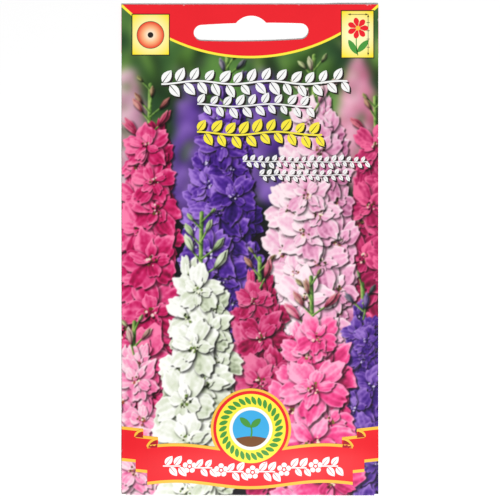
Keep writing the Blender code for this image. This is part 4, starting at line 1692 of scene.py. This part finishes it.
def seed_axes(node):
    """A seed's middle, its turn and its three half lengths, from its solid's own points."""
    corners = np.array([vertex.co for vertex in node.data.vertices])
    middle = (corners.min(axis=0) + corners.max(axis=0)) / 2
    _, axes = np.linalg.eigh(np.cov((corners - middle).T))
    if np.linalg.det(axes) < 0:
        axes[:, 0] *= -1
    half = np.abs((corners - middle) @ axes).max(axis=0)
    return middle, tuple(Matrix(axes.tolist()).to_euler()), half


class SEEDPACKET_OT_seeds(bpy.types.Operator):
    """Make the loose seeds"""

    bl_idname = "seedpacket.seeds"
    bl_label = "Seeds"

    def execute(self, context):
        look = context.scene.seed_look
        names = sorted(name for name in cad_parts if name.startswith("seed_"))
        middles, turns, halves = zip(*(seed_axes(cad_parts[name]) for name in names))
        tones = [tuple(min(share * part, 1.0) for part in look.coat) for share in (0.45, 2.4)]
        coat = grainy_material("seed_coat", 3200.0, 4.0, tones, (0.5, 0.75), (0.7, 0.05 * MM))
        ball = bmesh.new()
        bmesh.ops.create_icosphere(ball, subdivisions=3, radius=1.0)
        shape = built_object("seed_ball", ball)
        values = {"Seed shape": shape, "Wrinkles": look.wrinkle, "Material": coat}
        mesh = grown(seed_tree(), values, middles, (("turn", turns), ("size", halves)))
        mesh.shade_smooth()
        bpy.data.objects.remove(shape)
        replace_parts(finish_piece(bpy.data.objects.new("loose_seeds", mesh)), *names)
        return {"FINISHED"}


# The floor, the lights and the camera

FLOOR_HALF = 1.2
FLOOR_DROP = 0.12 * MM
KEY_PLACE = (0.32, -1.12, 1.72)
KEY_SIZE = 0.40
SENSOR_WIDTH = 36.0


class SEEDPACKET_OT_stage(bpy.types.Operator):
    """Set the floor, the lights and the camera"""

    bl_idname = "seedpacket.stage"
    bl_label = "Stage"

    def execute(self, context):
        look, scene = context.scene.stage_look, context.scene
        mesh = bmesh.new()
        bmesh.ops.create_grid(mesh, x_segments=1, y_segments=1, size=FLOOR_HALF)
        floor = built_object("floor", mesh)
        floor.location.z = -FLOOR_DROP
        material, _, shader = new_material("pale_floor")
        shader.inputs["Base Color"].default_value = (1.0, 1.0, 1.0, 1.0)
        shader.inputs["Roughness"].default_value = 0.9
        shader.inputs["Specular IOR Level"].default_value = 0.1
        floor.data.materials.append(material)
        scene.collection.objects.link(floor)
        scene.world = bpy.data.worlds.new("even_light")
        scene.world.use_nodes = True
        sky = scene.world.node_tree.nodes["Background"].inputs
        sky["Color"].default_value = (1.0, 1.0, 1.0, 1.0)
        sky["Strength"].default_value = look.sky
        lamp = bpy.data.lights.new("key_light", "AREA")
        lamp.energy = look.key
        lamp.size = KEY_SIZE
        key = bpy.data.objects.new("key_light", lamp)
        key.location = KEY_PLACE
        key.rotation_euler = (-key.location).to_track_quat("-Z", "Y").to_euler()
        scene.collection.objects.link(key)
        lens = bpy.data.cameras.new("camera")
        lens.lens = look.lens
        lens.sensor_width = SENSOR_WIDTH
        lens.clip_start = 0.01
        camera = bpy.data.objects.new("camera", lens)
        camera.location = (0.0, 0.0, look.frame_height * look.lens / SENSOR_WIDTH)
        scene.collection.objects.link(camera)
        scene.camera = camera
        scene.view_settings.view_transform = "Standard"
        return {"FINISHED"}


class SEEDPACKET_PT_panel(bpy.types.Panel):
    """Lists the packet's pieces"""

    bl_idname = "SEEDPACKET_PT_panel"
    bl_label = "Seed packet"
    bl_space_type = "VIEW_3D"
    bl_region_type = "UI"
    bl_category = "Seed packet"

    def draw(self, context):
        for name, group in GROUPS.items():
            box = self.layout.box()
            for setting in group.__annotations__:
                box.prop(getattr(context.scene, name), setting)
        for piece in OPERATORS:
            self.layout.operator(piece.bl_idname)


GROUPS = {
    "packet_shape": PacketShape,
    "print_colours": PrintColours,
    "flower_picture": FlowerPicture,
    "seed_look": SeedLook,
    "stage_look": StageLook,
}
OPERATORS = (
    SEEDPACKET_OT_paper,
    SEEDPACKET_OT_picture,
    SEEDPACKET_OT_header,
    SEEDPACKET_OT_panels,
    SEEDPACKET_OT_garlands,
    SEEDPACKET_OT_scroll,
    SEEDPACKET_OT_medallion,
    SEEDPACKET_OT_back,
    SEEDPACKET_OT_glue,
    SEEDPACKET_OT_seeds,
    SEEDPACKET_OT_stage,
)


def register():
    for kind in (*GROUPS.values(), *OPERATORS, SEEDPACKET_PT_panel):
        bpy.utils.register_class(kind)
    for name, group in GROUPS.items():
        setattr(bpy.types.Scene, name, PointerProperty(type=group))


def unregister():
    for name in GROUPS:
        delattr(bpy.types.Scene, name)
    for kind in (SEEDPACKET_PT_panel, *reversed(OPERATORS), *reversed(GROUPS.values())):
        bpy.utils.unregister_class(kind)


def main():
    register()
    for operator in OPERATORS:
        family, name = operator.bl_idname.split(".")
        getattr(getattr(bpy.ops, family), name)()


if __name__ == "__main__":
    main()
